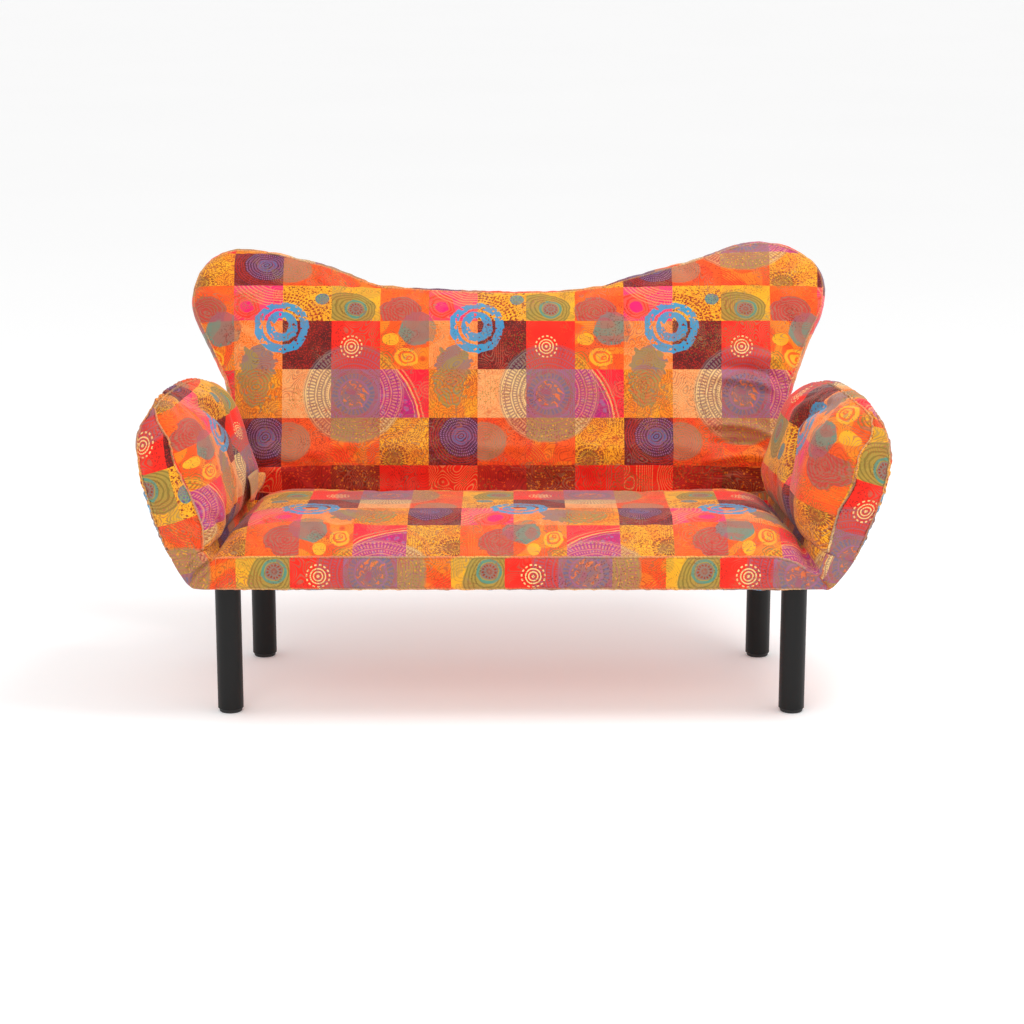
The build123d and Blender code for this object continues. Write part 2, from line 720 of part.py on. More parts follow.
for corner, (across, depth) in leg_places.items():
    floor = Plane(origin=(across, FRONT_Y + depth, 0))
    with BuildPart() as leg:
        with BuildSketch(floor.offset(GLIDE_HEIGHT)):
            Circle(LEG_RADIUS)
        extrude(amount=LEG_TOP - GLIDE_HEIGHT)
        chamfer(leg.faces().sort_by(Axis.Z)[0].edges(), LEG_CHAMFER)
        with BuildSketch(floor.offset(GLIDE_HEIGHT)):
            Circle(GLIDE_STEM_RADIUS + BOLT_FIT)
        extrude(amount=GLIDE_STEM, mode=Mode.SUBTRACT)
        with BuildSketch(floor.offset(LEG_TOP - LEG_BOLT_DEPTH)):
            Circle(LEG_BOLT_RADIUS + BOLT_FIT)
        extrude(amount=LEG_BOLT_DEPTH, mode=Mode.SUBTRACT)
    save(leg, f"leg_{corner}")
    with BuildPart() as foot_glide:
        with BuildSketch(floor):
            Circle(GLIDE_RADIUS)
        extrude(amount=GLIDE_HEIGHT)
        fillet(foot_glide.faces().sort_by(Axis.Z)[0].edges(), GLIDE_ROUND)
        with BuildSketch(floor.offset(GLIDE_HEIGHT)):
            Circle(GLIDE_STEM_RADIUS)
        extrude(amount=GLIDE_STEM)
    save(foot_glide, f"foot_glide_{corner}")

with BuildPart() as leg_bolts:
    with BuildSketch(seat_plane.offset(-HALF - LEG_BOLT_DEPTH)):
        with Locations(*leg_places.values()):
            Circle(LEG_BOLT_RADIUS)
    extrude(amount=LEG_BOLT_DEPTH + HALF + FRAME_BOTTOM + LEG_BOLT_END)
save(leg_bolts, "leg_bolts")

# Right arm, which the left one mirrors

with BuildPart() as arm_frame:
    add(tube_frame(arm_plane, arm_ring, []))
    add(shanks(arm_swings, SWING_FACE, BOLT_RADIUS + BOLT_FIT), mode=Mode.SUBTRACT)

with BuildPart() as arm_webbing:
    for web in range(ARM_WEB_COUNT):
        spot = ARM_DEPTH / 2 + (web - (ARM_WEB_COUNT - 1) / 2) * ARM_WEB_SPACING
        with BuildSketch(arm_plane.offset(FRAME_TOP)):
            add(strip((SWING_REACH, spot), (along(arm_tip_path, spot), spot), WEB_WIDTH))
        extrude(amount=WEB_THICKNESS)

with BuildPart() as arm_foam:
    add(arm_panel(COVER_WALL + PAD_FIT))
    add(pocket(arm_plane, arm_ring, WEB_POCKET_TOP), mode=Mode.SUBTRACT)
    add(swing_rooms(arm_swings), mode=Mode.SUBTRACT)

with BuildPart() as arm_outer_pad:
    with BuildSketch(arm_plane.offset(UNDERPAD_BOTTOM)):
        add(filled(arm_ring, 0))
    extrude(amount=UNDERPAD)

with BuildPart() as arm_cover:
    add(arm_panel(0))
    add(arm_panel(COVER_WALL), mode=Mode.SUBTRACT)
    add(swing_rooms(arm_swings), mode=Mode.SUBTRACT)

with BuildPart() as arm_hinge_bases:
    add(base_leaves(arm_bases))

with BuildPart() as arm_hinge_leaves:
    add(leaves(arm_swings, SWING_FACE, SWING_BOTTOM))

with BuildPart() as arm_hinge_ratchets:
    add(ratchets(arm_swings))

with BuildPart() as arm_hinge_pawls:
    add(pawls(arm_bases))

with BuildPart() as arm_hinge_rivets:
    add(rivets(arm_bases))

with BuildPart() as arm_base_bolts:
    add(bolts(arm_bases, BASE_FACE))

with BuildPart() as arm_leaf_bolts:
    add(bolts(arm_swings, SWING_FACE))

arm_pieces = {
    "frame": arm_frame,
    "webbing": arm_webbing,
    "foam": arm_foam,
    "outer_pad": arm_outer_pad,
    "cover": arm_cover,
    "hinge_bases": arm_hinge_bases,
    "hinge_leaves": arm_hinge_leaves,
    "hinge_ratchets": arm_hinge_ratchets,
    "hinge_pawls": arm_hinge_pawls,
    "hinge_rivets": arm_hinge_rivets,
    "base_bolts": arm_base_bolts,
    "leaf_bolts": arm_leaf_bolts,
}
for name, piece in arm_pieces.items():
    save(piece, f"right_arm_{name}")
    with BuildPart() as left_piece:
        mirror(piece.part, about=Plane.YZ)
    save(left_piece, f"left_arm_{name}")

# Back

with BuildPart() as back_frame:
    crossings = [
        (
            (side * BACK_CROSS_SPACING / 2, SWING_CENTRE),
            (side * BACK_CROSS_SPACING / 2, along(back_top_path, BACK_CROSS_SPACING / 2)),
        )
        for side in (-1, 1)
    ]
    add(tube_frame(back_plane, back_ring, crossings))
    add(shanks(back_swings, SWING_FACE, BOLT_RADIUS + BOLT_FIT), mode=Mode.SUBTRACT)
save(back_frame, "back_frame")

with BuildPart() as back_webbing:
    for web in range(BACK_WEB_COUNT):
        spot = (web - (BACK_WEB_COUNT - 1) / 2) * BACK_WEB_SPACING
        with BuildSketch(back_plane.offset(FRAME_TOP)):
            add(strip((spot, SWING_REACH), (spot, along(back_top_path, abs(spot))), WEB_WIDTH))
        extrude(amount=WEB_THICKNESS)
save(back_webbing, "back_webbing")

with BuildPart() as back_foam:
    add(back_panel(COVER_WALL + PAD_FIT))
    add(pocket(back_plane, back_ring, WEB_POCKET_TOP), mode=Mode.SUBTRACT)
    add(swing_rooms(back_swings), mode=Mode.SUBTRACT)
save(back_foam, "back_foam")

with BuildPart() as back_rear_pad:
    with BuildSketch(back_plane.offset(UNDERPAD_BOTTOM)):
        add(filled(back_ring, 0))
    extrude(amount=UNDERPAD)
save(back_rear_pad, "back_rear_pad")

with BuildPart() as back_cover:
    add(back_panel(0))
    add(back_panel(COVER_WALL), mode=Mode.SUBTRACT)
    add(swing_rooms(back_swings), mode=Mode.SUBTRACT)
save(back_cover, "back_cover")

with BuildPart() as back_hinge_bases:
    add(base_leaves(back_bases))
save(back_hinge_bases, "back_hinge_bases")

with BuildPart() as back_hinge_leaves:
    add(leaves(back_swings, SWING_FACE, SWING_BOTTOM))
save(back_hinge_leaves, "back_hinge_leaves")

with BuildPart() as back_hinge_ratchets:
    add(ratchets(back_swings))
save(back_hinge_ratchets, "back_hinge_ratchets")

with BuildPart() as back_hinge_pawls:
    add(pawls(back_bases))
save(back_hinge_pawls, "back_hinge_pawls")

with BuildPart() as back_hinge_rivets:
    add(rivets(back_bases))
save(back_hinge_rivets, "back_hinge_rivets")

with BuildPart() as back_base_bolts:
    add(bolts(back_bases, BASE_FACE))
save(back_base_bolts, "back_base_bolts")

with BuildPart() as back_leaf_bolts:
    add(bolts(back_swings, SWING_FACE))
save(back_leaf_bolts, "back_leaf_bolts")
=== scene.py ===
# %% [markdown]
# A small patchwork sofa bed: a slim seat on four round legs, two padded arms and an eared back, all sewn in
# one printed cloth. The arms and the back fold down flat on ratchet hinges. The steelwork, the legs and the
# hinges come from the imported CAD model; this notebook dresses them in padding, cloth, seams and finishes.

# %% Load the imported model
import json
import math

import bpy
import numpy as np
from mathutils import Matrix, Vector
from mathutils.bvhtree import BVHTree


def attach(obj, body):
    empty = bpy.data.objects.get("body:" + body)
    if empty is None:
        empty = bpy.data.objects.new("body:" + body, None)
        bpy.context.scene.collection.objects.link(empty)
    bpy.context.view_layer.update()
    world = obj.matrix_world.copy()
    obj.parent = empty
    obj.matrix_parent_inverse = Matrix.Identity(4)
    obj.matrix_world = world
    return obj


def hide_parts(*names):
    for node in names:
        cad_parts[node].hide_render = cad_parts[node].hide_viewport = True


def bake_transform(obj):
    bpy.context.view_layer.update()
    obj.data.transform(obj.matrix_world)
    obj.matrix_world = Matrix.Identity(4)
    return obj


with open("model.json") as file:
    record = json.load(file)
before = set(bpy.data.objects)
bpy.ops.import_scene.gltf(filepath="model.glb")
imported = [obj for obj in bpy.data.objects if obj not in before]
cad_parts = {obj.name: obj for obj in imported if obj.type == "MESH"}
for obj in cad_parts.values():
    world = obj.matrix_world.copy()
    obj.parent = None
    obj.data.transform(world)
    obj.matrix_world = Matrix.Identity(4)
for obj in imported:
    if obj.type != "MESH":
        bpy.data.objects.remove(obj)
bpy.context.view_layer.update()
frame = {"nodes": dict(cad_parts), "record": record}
scene = bpy.context.scene

# %% [markdown]
# The photograph is a catalogue shot: a long lens, a little above the sofa, tilted down. The lens and the
# place were worked out from the four legs, which are equal and stand upright. A camera with the same lens,
# place and tilt lets the finished picture be laid over the photograph.

# %% Camera
CAMERA_PLACE = (0.002, -5.365, 1.611)
TILT_DOWN = 13.15  # degrees below level

camera = bpy.data.objects.new("camera", bpy.data.cameras.new("camera"))
camera.data.lens = 87.89
camera.data.sensor_width = 36.0
camera.data.clip_end = 500.0
camera.location = CAMERA_PLACE
camera.rotation_euler = (math.radians(90 - TILT_DOWN), 0.0, 0.0)
scene.collection.objects.link(camera)
scene.camera = camera
scene.view_settings.view_transform = "Standard"
print("lens", camera.data.lens, "mm")

# %% [markdown]
# The backdrop is one pale floor that runs so far behind the sofa that no edge of it shows. The light is a
# white sky, with one large soft lamp in front and one above. A large lamp close by gives soft shadows, which
# is how cloth is lit in a studio; a small or distant one would draw hard edges under every fold.

# %% Floor and light
FLOOR_SIDE, FLOOR_NEAR, FLOOR_FAR = 150, -60, 200
WHITE = (1.0, 1.0, 1.0, 1.0)
MIDDLE = (0, 0, 0.4)  # what both lamps look at

floor_mesh = bpy.data.meshes.new("floor")
floor_mesh.from_pydata([(-FLOOR_SIDE, FLOOR_NEAR, 0), (FLOOR_SIDE, FLOOR_NEAR, 0), (FLOOR_SIDE, FLOOR_FAR, 0),
                        (-FLOOR_SIDE, FLOOR_FAR, 0)], [], [(0, 1, 2, 3)])
floor = bpy.data.objects.new("floor", floor_mesh)
scene.collection.objects.link(floor)

sky = bpy.data.worlds.new("studio")
sky.use_nodes = True
sky.node_tree.nodes["Background"].inputs["Color"].default_value = WHITE
sky.node_tree.nodes["Background"].inputs["Strength"].default_value = 0.86
scene.world = sky


def soft_lamp(name, place, size, power):
    """A square area lamp that looks at the middle of the sofa."""
    lamp = bpy.data.objects.new(name, bpy.data.lights.new(name, "AREA"))
    lamp.data.shape = "SQUARE"
    lamp.data.size = size
    lamp.data.energy = power
    lamp.location = place
    lamp.rotation_euler = (Vector(MIDDLE) - Vector(place)).to_track_quat("-Z", "Y").to_euler()
    scene.collection.objects.link(lamp)
    return lamp


lamps = [soft_lamp("lamp_front", (-1.2, -4.2, 3.6), 2.6, 44),
         soft_lamp("lamp_above", (1.4, -0.6, 3.4), 1.4, 50)]
print("floor and", len(lamps), "soft lamps")

# %% [markdown]
# Every cushion is drawn flat first, as a pattern cutter would: an outline on its own panel, in metres. A
# panel has an origin on its hinge line and three directions: along, up and out of the face you sit or lean
# on. The seat lies flat, the arms and the back stand 72 degrees above it.

# %% Panels
HINGE_HEIGHT = 0.319
FRONT_Y = -0.38807
SEAT_DEPTH = 0.565
HINGE_X = 0.648
SPLAY = math.radians(4.5)
RAISE = math.radians(72)
HALF = 0.035  # half the thickness at the seams
START = 0.039  # from a hinge line to the padding


class Panel:
    """A flat frame: origin, the panel's own x and y, and the way its face looks."""

    def __init__(self, origin, x, y, out):
        self.origin = np.array(origin, float)
        self.axes = np.array([x, y, out], float)

    def world(self, points):
        return self.origin + np.asarray(points, float) @ self.axes

    def local(self, points):
        return (np.asarray(points, float) - self.origin) @ self.axes.T


def arm_panel(side):
    """An arm's panel: x runs up the arm, y runs back along its hinge, out looks at the sitter."""
    c, s, up, flat = math.cos(SPLAY), math.sin(SPLAY), math.sin(RAISE), math.cos(RAISE)
    return Panel((side * HINGE_X, FRONT_Y, HINGE_HEIGHT),
                 (side * flat * c, flat * s, up), (-side * s, c, 0), (-side * up * c, -up * s, flat))


seat_panel = Panel((0, FRONT_Y, HINGE_HEIGHT), (1, 0, 0), (0, 1, 0), (0, 0, 1))
back_panel = Panel((0, FRONT_Y + SEAT_DEPTH, HINGE_HEIGHT),
                   (1, 0, 0), (0, math.cos(RAISE), math.sin(RAISE)), (0, -math.sin(RAISE), math.cos(RAISE)))
arm_panels = {"left": arm_panel(-1), "right": arm_panel(1)}
print("hinge lines at", [p.origin.round(3).tolist() for p in (seat_panel, back_panel, *arm_panels.values())])

# %% [markdown]
# Two tools for drawing. The first runs a smooth line through a few points and cuts it into equal lengths. The
# second stretches a grid of small squares over an outline of four sides, like a net. A grid bends and takes
# wrinkles well, which a face with many corners would not.

# %% Smooth lines and nets


def smooth(points, count):
    """A smooth line through the points, cut into count equal lengths."""
    p = np.array(points, float)
    p = np.vstack([2 * p[0] - p[1], p, 2 * p[-1] - p[-2]])
    t = np.linspace(0, 1, 24, endpoint=False)[:, None]
    line = []
    for a, b, c, d in zip(p, p[1:], p[2:], p[3:]):
        line.append(0.5 * (2 * b + (c - a) * t
                           + (2 * a - 5 * b + 4 * c - d) * t**2
                           + (3 * b - a - 3 * c + d) * t**3))
    line = np.vstack([*line, p[-2:-1]])
    run = np.concatenate([[0], np.cumsum(np.linalg.norm(np.diff(line, axis=0), axis=1))])
    at = np.linspace(0, run[-1], count + 1)
    return np.stack([np.interp(at, run, line[:, k]) for k in range(line.shape[1])], 1)


def net(sides, across, up):
    """A grid of points stretched over the outline: sides are lower, right, upper and left, the lower and
    upper ones from left to right, the others from bottom to top."""
    low, right, high, left = (smooth(s, n) for s, n in zip(sides, (across, up, across, up)))
    s = np.linspace(0, 1, across + 1)[:, None, None]
    t = np.linspace(0, 1, up + 1)[None, :, None]
    edges = (1 - t) * low[:, None] + t * high[:, None] + (1 - s) * left[None] + s * right[None]
    corners = ((1 - s) * (1 - t) * low[0] + s * (1 - t) * low[-1] + (1 - s) * t * high[0] + s * t * high[-1])
    return edges - corners


def rim(across, up):
    """The grid places round the outline, in order, starting with the lower side."""
    return ([(i, 0) for i in range(across)] + [(across, j) for j in range(up)]
            + [(i, up) for i in range(across, 0, -1)] + [(0, j) for j in range(up, 0, -1)])


print("smooth lines and nets ready")

# %% [markdown]
# The outlines themselves. Each has four sides: the first is the front or the lower edge, then round against
# the clock. The points were chosen on the photograph's silhouette.

# %% Outlines
edge_x = HINGE_X - START
taper = math.tan(SPLAY)
rear_y = SEAT_DEPTH - START
CORNER = 0.050  # how far the seat's rear corners are drawn in
seat_sides = (
    [(-edge_x, 0), (-0.3, 0), (0, 0), (0.3, 0), (edge_x, 0)],
    [(edge_x, 0), (edge_x - 0.2 * taper, 0.2), (edge_x - 0.42 * taper, 0.42),
     (edge_x - CORNER, rear_y - 0.011)],
    [(-edge_x + CORNER, rear_y - 0.011), (-edge_x + 0.085, rear_y), (-0.3, rear_y), (0, rear_y),
     (0.3, rear_y), (edge_x - 0.085, rear_y), (edge_x - CORNER, rear_y - 0.011)],
    [(-edge_x, 0), (-edge_x + 0.2 * taper, 0.2), (-edge_x + 0.42 * taper, 0.42),
     (-edge_x + CORNER, rear_y - 0.011)],
)
back_sides = (
    [(-0.583, 0.056), (-0.566, 0.037), (-0.3, 0.035), (0, 0.035), (0.3, 0.035), (0.562, 0.037),
     (0.579, 0.056)],
    [(0.579, 0.056), (0.592, 0.090), (0.608, 0.181), (0.634, 0.277), (0.655, 0.340), (0.676, 0.395),
     (0.699, 0.442), (0.709, 0.479), (0.711, 0.516), (0.702, 0.546), (0.684, 0.570)],
    [(-0.680, 0.574), (-0.650, 0.588), (-0.617, 0.594), (-0.566, 0.590), (-0.518, 0.581), (-0.413, 0.553),
     (-0.345, 0.526), (-0.297, 0.511), (-0.205, 0.504), (-0.091, 0.498), (0, 0.495), (0.114, 0.498),
     (0.205, 0.509), (0.255, 0.524), (0.308, 0.539), (0.410, 0.567), (0.461, 0.585), (0.502, 0.600),
     (0.559, 0.611), (0.605, 0.608), (0.645, 0.594), (0.684, 0.570)],
    [(-0.583, 0.056), (-0.596, 0.090), (-0.613, 0.158), (-0.641, 0.277), (-0.664, 0.335), (-0.690, 0.390),
     (-0.715, 0.442), (-0.723, 0.480), (-0.715, 0.522), (-0.702, 0.550), (-0.680, 0.574)],
)
arm_sides = {
    "left": (
        [(START, 0), (0.10, 0), (0.18, -0.002), (0.25, -0.001), (0.31, 0.003), (0.349, 0.014)],
        [(0.349, 0.014), (0.357, 0.050), (0.358, 0.15), (0.352, 0.27), (0.341, 0.37), (0.322, 0.450),
         (0.290, 0.498)],
        [(START, 0.506), (0.12, 0.512), (0.20, 0.514), (0.255, 0.510), (0.290, 0.498)],
        [(START, 0), (START, 0.17), (START, 0.34), (START, 0.506)],
    ),
    "right": (
        [(START, 0), (0.10, 0), (0.18, -0.002), (0.25, -0.001), (0.30, 0.003), (0.333, 0.014)],
        [(0.333, 0.014), (0.343, 0.050), (0.348, 0.15), (0.344, 0.27), (0.336, 0.37), (0.318, 0.450),
         (0.286, 0.498)],
        [(START, 0.506), (0.12, 0.512), (0.20, 0.514), (0.255, 0.510), (0.286, 0.498)],
        [(START, 0), (START, 0.17), (START, 0.34), (START, 0.506)],
    ),
}
print("outlines:", 2 + len(arm_sides))

# %% [markdown]
# A cushion is sewn from a net for the face, a net for the underside and a strip between them round the edge.
# Solidify could give the thickness too, but its rim couldn't swell or carry a cut of its own. So the points
# are laid first: both nets at their heights, and the rings of the strip, which bulge a little outwards.

# %% Points of a cushion
PATCH = 0.1105  # one square of the print, in metres


def lay_points(flat, loop, face, under, bulge, rows):
    """The points of the face, the underside and the strip's rings. Also gives each ring as point numbers, and
    the way out and the depth at each place round the rim."""
    top = np.column_stack([flat, face(flat)])
    bottom = np.column_stack([flat, under(flat)])
    along = flat[np.roll(loop, -1)] - flat[np.roll(loop, 1)]
    outward = np.column_stack([along[:, 1], -along[:, 0]]) / np.linalg.norm(along, axis=1)[:, None]
    points, rings = [top, bottom], [loop]
    for k in range(1, rows):
        share = k / rows
        swell = bulge * math.sin(math.pi * share) ** 0.7
        ring = (1 - share) * top[loop] + share * bottom[loop]
        ring[:, :2] += swell * outward
        rings.append(2 * len(flat) + (k - 1) * len(loop) + np.arange(len(loop)))
        points.append(ring)
    rings.append(loop + len(flat))
    return np.vstack(points), rings, outward, top[loop, 2] - bottom[loop, 2]


print("one patch of the print is", PATCH, "m")

# %% [markdown]
# Then the points are joined into squares, and each corner of a square gets its place on the printed cloth.
# That is a UV map counted in patches of the print, so that the pattern follows the cloth and not the room.

# %% Squares of a cushion


def face_squares(across, up, laid, laid_under):
    """Squares of the face and, turned over, of the underside, with their places in the print."""
    faces, prints = [], []
    size = (across + 1) * (up + 1)
    for i in range(across):
        for j in range(up):
            at = i * (up + 1) + j
            square = [at, at + up + 1, at + up + 2, at + 1]
            faces.append(square)
            prints.append(laid[square])
            faces.append([size + v for v in square[::-1]])
            prints.append(laid_under[square[::-1]])
    return faces, prints


def strip_squares(rings, line, outward, depth, strip_print):
    """Squares of the strip between the two seams, ring by ring."""
    faces, prints = [], []
    rows, count = len(rings) - 1, len(rings[0])
    for k in range(rows):
        for n in range(count):
            m = (n + 1) % count
            faces.append([rings[k][n], rings[k + 1][n], rings[k + 1][m], rings[k][m]])
            deep, away = depth[[n, n, m, m]], outward[[n, n, m, m]]
            down = deep * np.array([k, k + 1, k + 1, k]) / rows
            prints.append(strip_print(line[[n, n, n + 1, n + 1]], away, down, deep, n))
    return faces, prints


print("squares ready")

# %% [markdown]
# The sewing itself puts both together. It remembers the two seams as lines, because the puckers and the
# stitching need them later, and as a group of points, which the simulation holds still.

# %% Sew a cushion


def sew(name, panel, sides, across, up, face, under, strip_print, face_print, under_print,
        bulge=0.005, rows=6, bend=None):
    """face and under give heights at points of the panel; the print functions give patch coordinates. rows is
    the number of squares across the strip, and bend may move the points, given their places in the net."""
    flat = net(sides, across, up).reshape(-1, 2)
    order = rim(across, up)
    loop = np.array([i * (up + 1) + j for i, j in order])
    points, rings, outward, depth = lay_points(flat, loop, face, under, bulge, rows)
    if bend:
        inner = [(i, j) for i in range(across + 1) for j in range(up + 1)]
        points = bend(points, np.array(inner * 2 + order * (rows - 1)))
    faces, prints = face_squares(across, up, face_print(flat), under_print(flat))
    line = np.vstack([flat[loop], flat[loop[:1]]])
    strip, strip_prints = strip_squares(rings, line, outward, depth, strip_print)
    faces += strip
    mesh = bpy.data.meshes.new(name)
    mesh.from_pydata(panel.world(points).tolist(), [], faces)
    uv = mesh.uv_layers.new(name="Cloth")
    uv.uv.foreach_set("vector", np.concatenate(prints + strip_prints).astype(np.float32).ravel())
    mesh.polygons.foreach_set("use_smooth", [True] * len(faces))
    obj = bpy.data.objects.new(name, mesh)
    scene.collection.objects.link(obj)
    pins = obj.vertex_groups.new(name="seams")
    pins.add([int(v) for v in np.concatenate([rings[0], rings[-1]])], 1.0, "REPLACE")
    if np.linalg.det(panel.axes) < 0:
        mesh.flip_normals()
    print(name, len(points), "points,", len(faces), "squares")
    return obj, panel.world(points[rings[0]]), panel.world(points[rings[-1]])


print("cushions can be sewn")

# %% [markdown]
# Padding rises steeply at its seam and then levels out, and a fold is a ridge or a valley along a path. Both
# come from one measure: how far each point lies from a line. Working with distances keeps the shapes soft and
# lets one short formula serve every cushion.

# %% Padding and folds


def wrap_over(face_print):
    """The face's own cloth carried on over the edge, with no cut."""
    return lambda line, outward, down, depth, place: face_print(line + outward * down[:, None])


def dome(d, reach, power=0.72):
    """0 at a seam, 1 from reach inwards, steep at the seam as sewn padding is."""
    q = np.clip(d / reach, 0, 1)
    return (1 - (1 - q) ** 2) ** power


def to_line(points, line):
    """Distance from each point to a line of points, and how far along the line the nearest one lies."""
    run = np.concatenate([[0], np.cumsum(np.linalg.norm(np.diff(line, axis=0), axis=1))])
    near, place = [], []
    for part in np.array_split(points, max(1, len(points) // 4000)):
        gap = np.linalg.norm(part[:, None] - line[None], axis=2)
        near.append(gap.min(1))
        place.append(run[gap.argmin(1)])
    return np.concatenate(near), np.concatenate(place)


def border(sides, first=0, last=4):
    """A closely spaced line round the outline, or along some of its sides."""
    ways = (sides[0], sides[1], sides[2][::-1], sides[3][::-1])
    return np.vstack([smooth(w, 150) for w in ways[first:last]])


def crease(points, folds):
    """Height of soft folds: each fold is a path, a width and a height, below zero for a valley."""
    height = np.zeros(len(points))
    for path, width, tall in folds:
        line = smooth(path, 40)
        gap, at = to_line(points, line)
        length = np.linalg.norm(np.diff(line, axis=0), axis=1).sum()
        fade = np.sin(np.clip(at / length, 0.02, 0.98) * math.pi) ** 0.6
        height += tall * fade * np.exp(-((gap / width) ** 2))
    return height


print("padding and folds ready")

# %% [markdown]
# The seat's padding rises quickly behind its front seam and falls slowly towards the back, which shows in
# the photograph as one tall row of patches in front and four thin ones behind. Its cloth was cut with the
# print turned a quarter, so the print's columns run from front to back here.

# %% Seat cushion
SEAT_ACROSS, SEAT_UP = 122, 54
SEAT_PRINT_X = 0.5473  # where a row of patches starts on the seat, left of the middle
seat_rise = np.array([(0, 0), (0.012, 0.008), (0.03, 0.020), (0.06, 0.035), (0.10, 0.047), (0.15, 0.050),
                      (0.21, 0.048), (0.32, 0.041), (0.42, 0.036), (0.485, 0.031), (0.508, 0.018),
                      (0.522, 0.004), (0.53, -0.004)])
seat_run = np.concatenate([[0], np.cumsum(np.hypot(*np.diff(seat_rise, axis=0).T))])
seat_edge_sides = border(seat_sides, 1, 2), border(seat_sides, 3, 4)


def seat_face(p):
    """The padding's height, with a droop at both front corners, more at the right one."""
    side = np.minimum(*(to_line(p, line)[0] for line in seat_edge_sides))
    droop = np.where(p[:, 0] > 0, 0.025, 0.002) * np.clip((np.abs(p[:, 0]) - 0.52) / 0.086, 0, 1) ** 2.6
    return (HALF + np.interp(p[:, 1], *seat_rise.T) * dome(side, 0.10, 0.6)
            - droop * np.exp(-((p[:, 1] / 0.06) ** 2)))


def seat_under(p):
    return np.full(len(p), -HALF)


def seat_face_print(p):
    return np.column_stack([2 + np.interp(p[:, 1], seat_rise[:, 0], seat_run) / PATCH
                            + np.minimum(p[:, 1], 0) / PATCH + np.maximum(p[:, 1] - rear_y, 0) / PATCH,
                            (p[:, 0] + SEAT_PRINT_X) / PATCH])


def seat_under_print(p):
    return np.column_stack([p[:, 1] / PATCH, (p[:, 0] + 0.55) / PATCH])


def front_strip_print(down, x):
    """The seat's front strip was cut as a piece of its own, a little out of step with the top."""
    return np.column_stack([1.772 - down / PATCH, 1.52 + (x + 0.3975) / PATCH])


def seat_strip_print(line, outward, down, depth, place):
    if place >= SEAT_ACROSS:
        return wrap_over(seat_face_print)(line, outward, down, depth, place)
    return front_strip_print(down, line[:, 0])


seat_cushion, seat_top_seam, seat_low_seam = sew(
    "seat_cushion", seat_panel, seat_sides, SEAT_ACROSS, SEAT_UP, seat_face, seat_under,
    seat_strip_print, seat_face_print, seat_under_print)
seat_front_seams = [seam[:SEAT_ACROSS + 1] for seam in (seat_top_seam, seat_low_seam)]

# %% [markdown]
# The back is a flat pillow with two raised ears. Its lower edge rolls under, close to the seat, and its face
# is only lightly domed. The print stands upright here.

# %% Back cushion
BACK_ACROSS, BACK_UP = 136, 56
BACK_PATCH = 0.1103  # the print's pitch across the back
BACK_PRINT_X, BACK_PRINT_Y = 0.517, 0.4261  # where a column and a row of patches start
back_border = border(back_sides)


def back_face(p):
    """Lightly domed, with a belly along the lower edge that hangs over the seat."""
    d, _ = to_line(p, back_border)
    belly = np.exp(-(((p[:, 1] - 0.108) / 0.040) ** 2)) * dome(d, 0.05)
    return HALF + 0.018 * dome(d, 0.10) + 0.016 * belly


def back_under(p):
    d, _ = to_line(p, back_border)
    return -HALF - 0.008 * dome(d, 0.09)


def back_face_print(p):
    """The cloth rolls away near the top, so the rows lie closer there."""
    high = np.maximum(p[:, 1] - BACK_PRINT_Y, 0)
    rows = 1 + (BACK_PRINT_Y - p[:, 1]) / PATCH - 0.39 * high / PATCH * np.clip(high / 0.08, 0, 1)
    return np.column_stack([(p[:, 0] + BACK_PRINT_X) / BACK_PATCH, rows])


def back_under_print(p):
    return np.column_stack([(BACK_PRINT_X - p[:, 0]) / PATCH, 1.6 + (BACK_PRINT_Y - p[:, 1]) / PATCH])


def back_strip_print(line, outward, down, depth, place):
    """Round the ears and the top the strip was cut a little out of step with the face."""
    shift = np.array([0.35, -0.25]) if place >= BACK_ACROSS else np.zeros(2)
    return back_face_print(line + outward * down[:, None]) + shift


back_cushion, back_face_seam, back_rear_seam = sew(
    "back_cushion", back_panel, back_sides, BACK_ACROSS, BACK_UP, back_face, back_under,
    back_strip_print, back_face_print, back_under_print)

# %% [markdown]
# The lowest row of the back's face, where it rolls under towards the seat, gets darker reds and browns as
# painted shade. A material of its own would need the whole print twice. Instead its place in the UV map is
# moved far up, where the print's node group knows it again by that.

# %% Painted shade on the back's lowest row
# Painted shade: the squares of the back's lowest row are moved far up the map, to be drawn in darker reds and
# browns.
PAINTED_SHADE_SHIFT = 100
PAINTED_SHADE_ROW = 4.001  # the row of patches, counted down the back, below which the hem lies
front_of_back = back_panel.world((0, 0.25, 0.02))[1]
painted_shade_uv = back_cushion.data.uv_layers["Cloth"]
moved_squares = 0
for square in back_cushion.data.polygons:
    corners_uv = [painted_shade_uv.data[k] for k in square.loop_indices]
    if square.center.y < front_of_back and max(c.uv.y for c in corners_uv) > PAINTED_SHADE_ROW:
        moved_squares += 1
        for corner in corners_uv:
            corner.uv.y += PAINTED_SHADE_SHIFT
print("squares in the back's lowest row:", moved_squares)

# %% [markdown]
# Each arm is a soft wedge. A flat strip closes its front end: it starts wide at the seat's corner and runs
# to a puckered point at the top. Seen from the sitter, the inner face has two upright rolls with a valley
# between them. The two arms differ a little, as hand-sewn ones do, and their strips were cut with the print
# facing opposite ways.

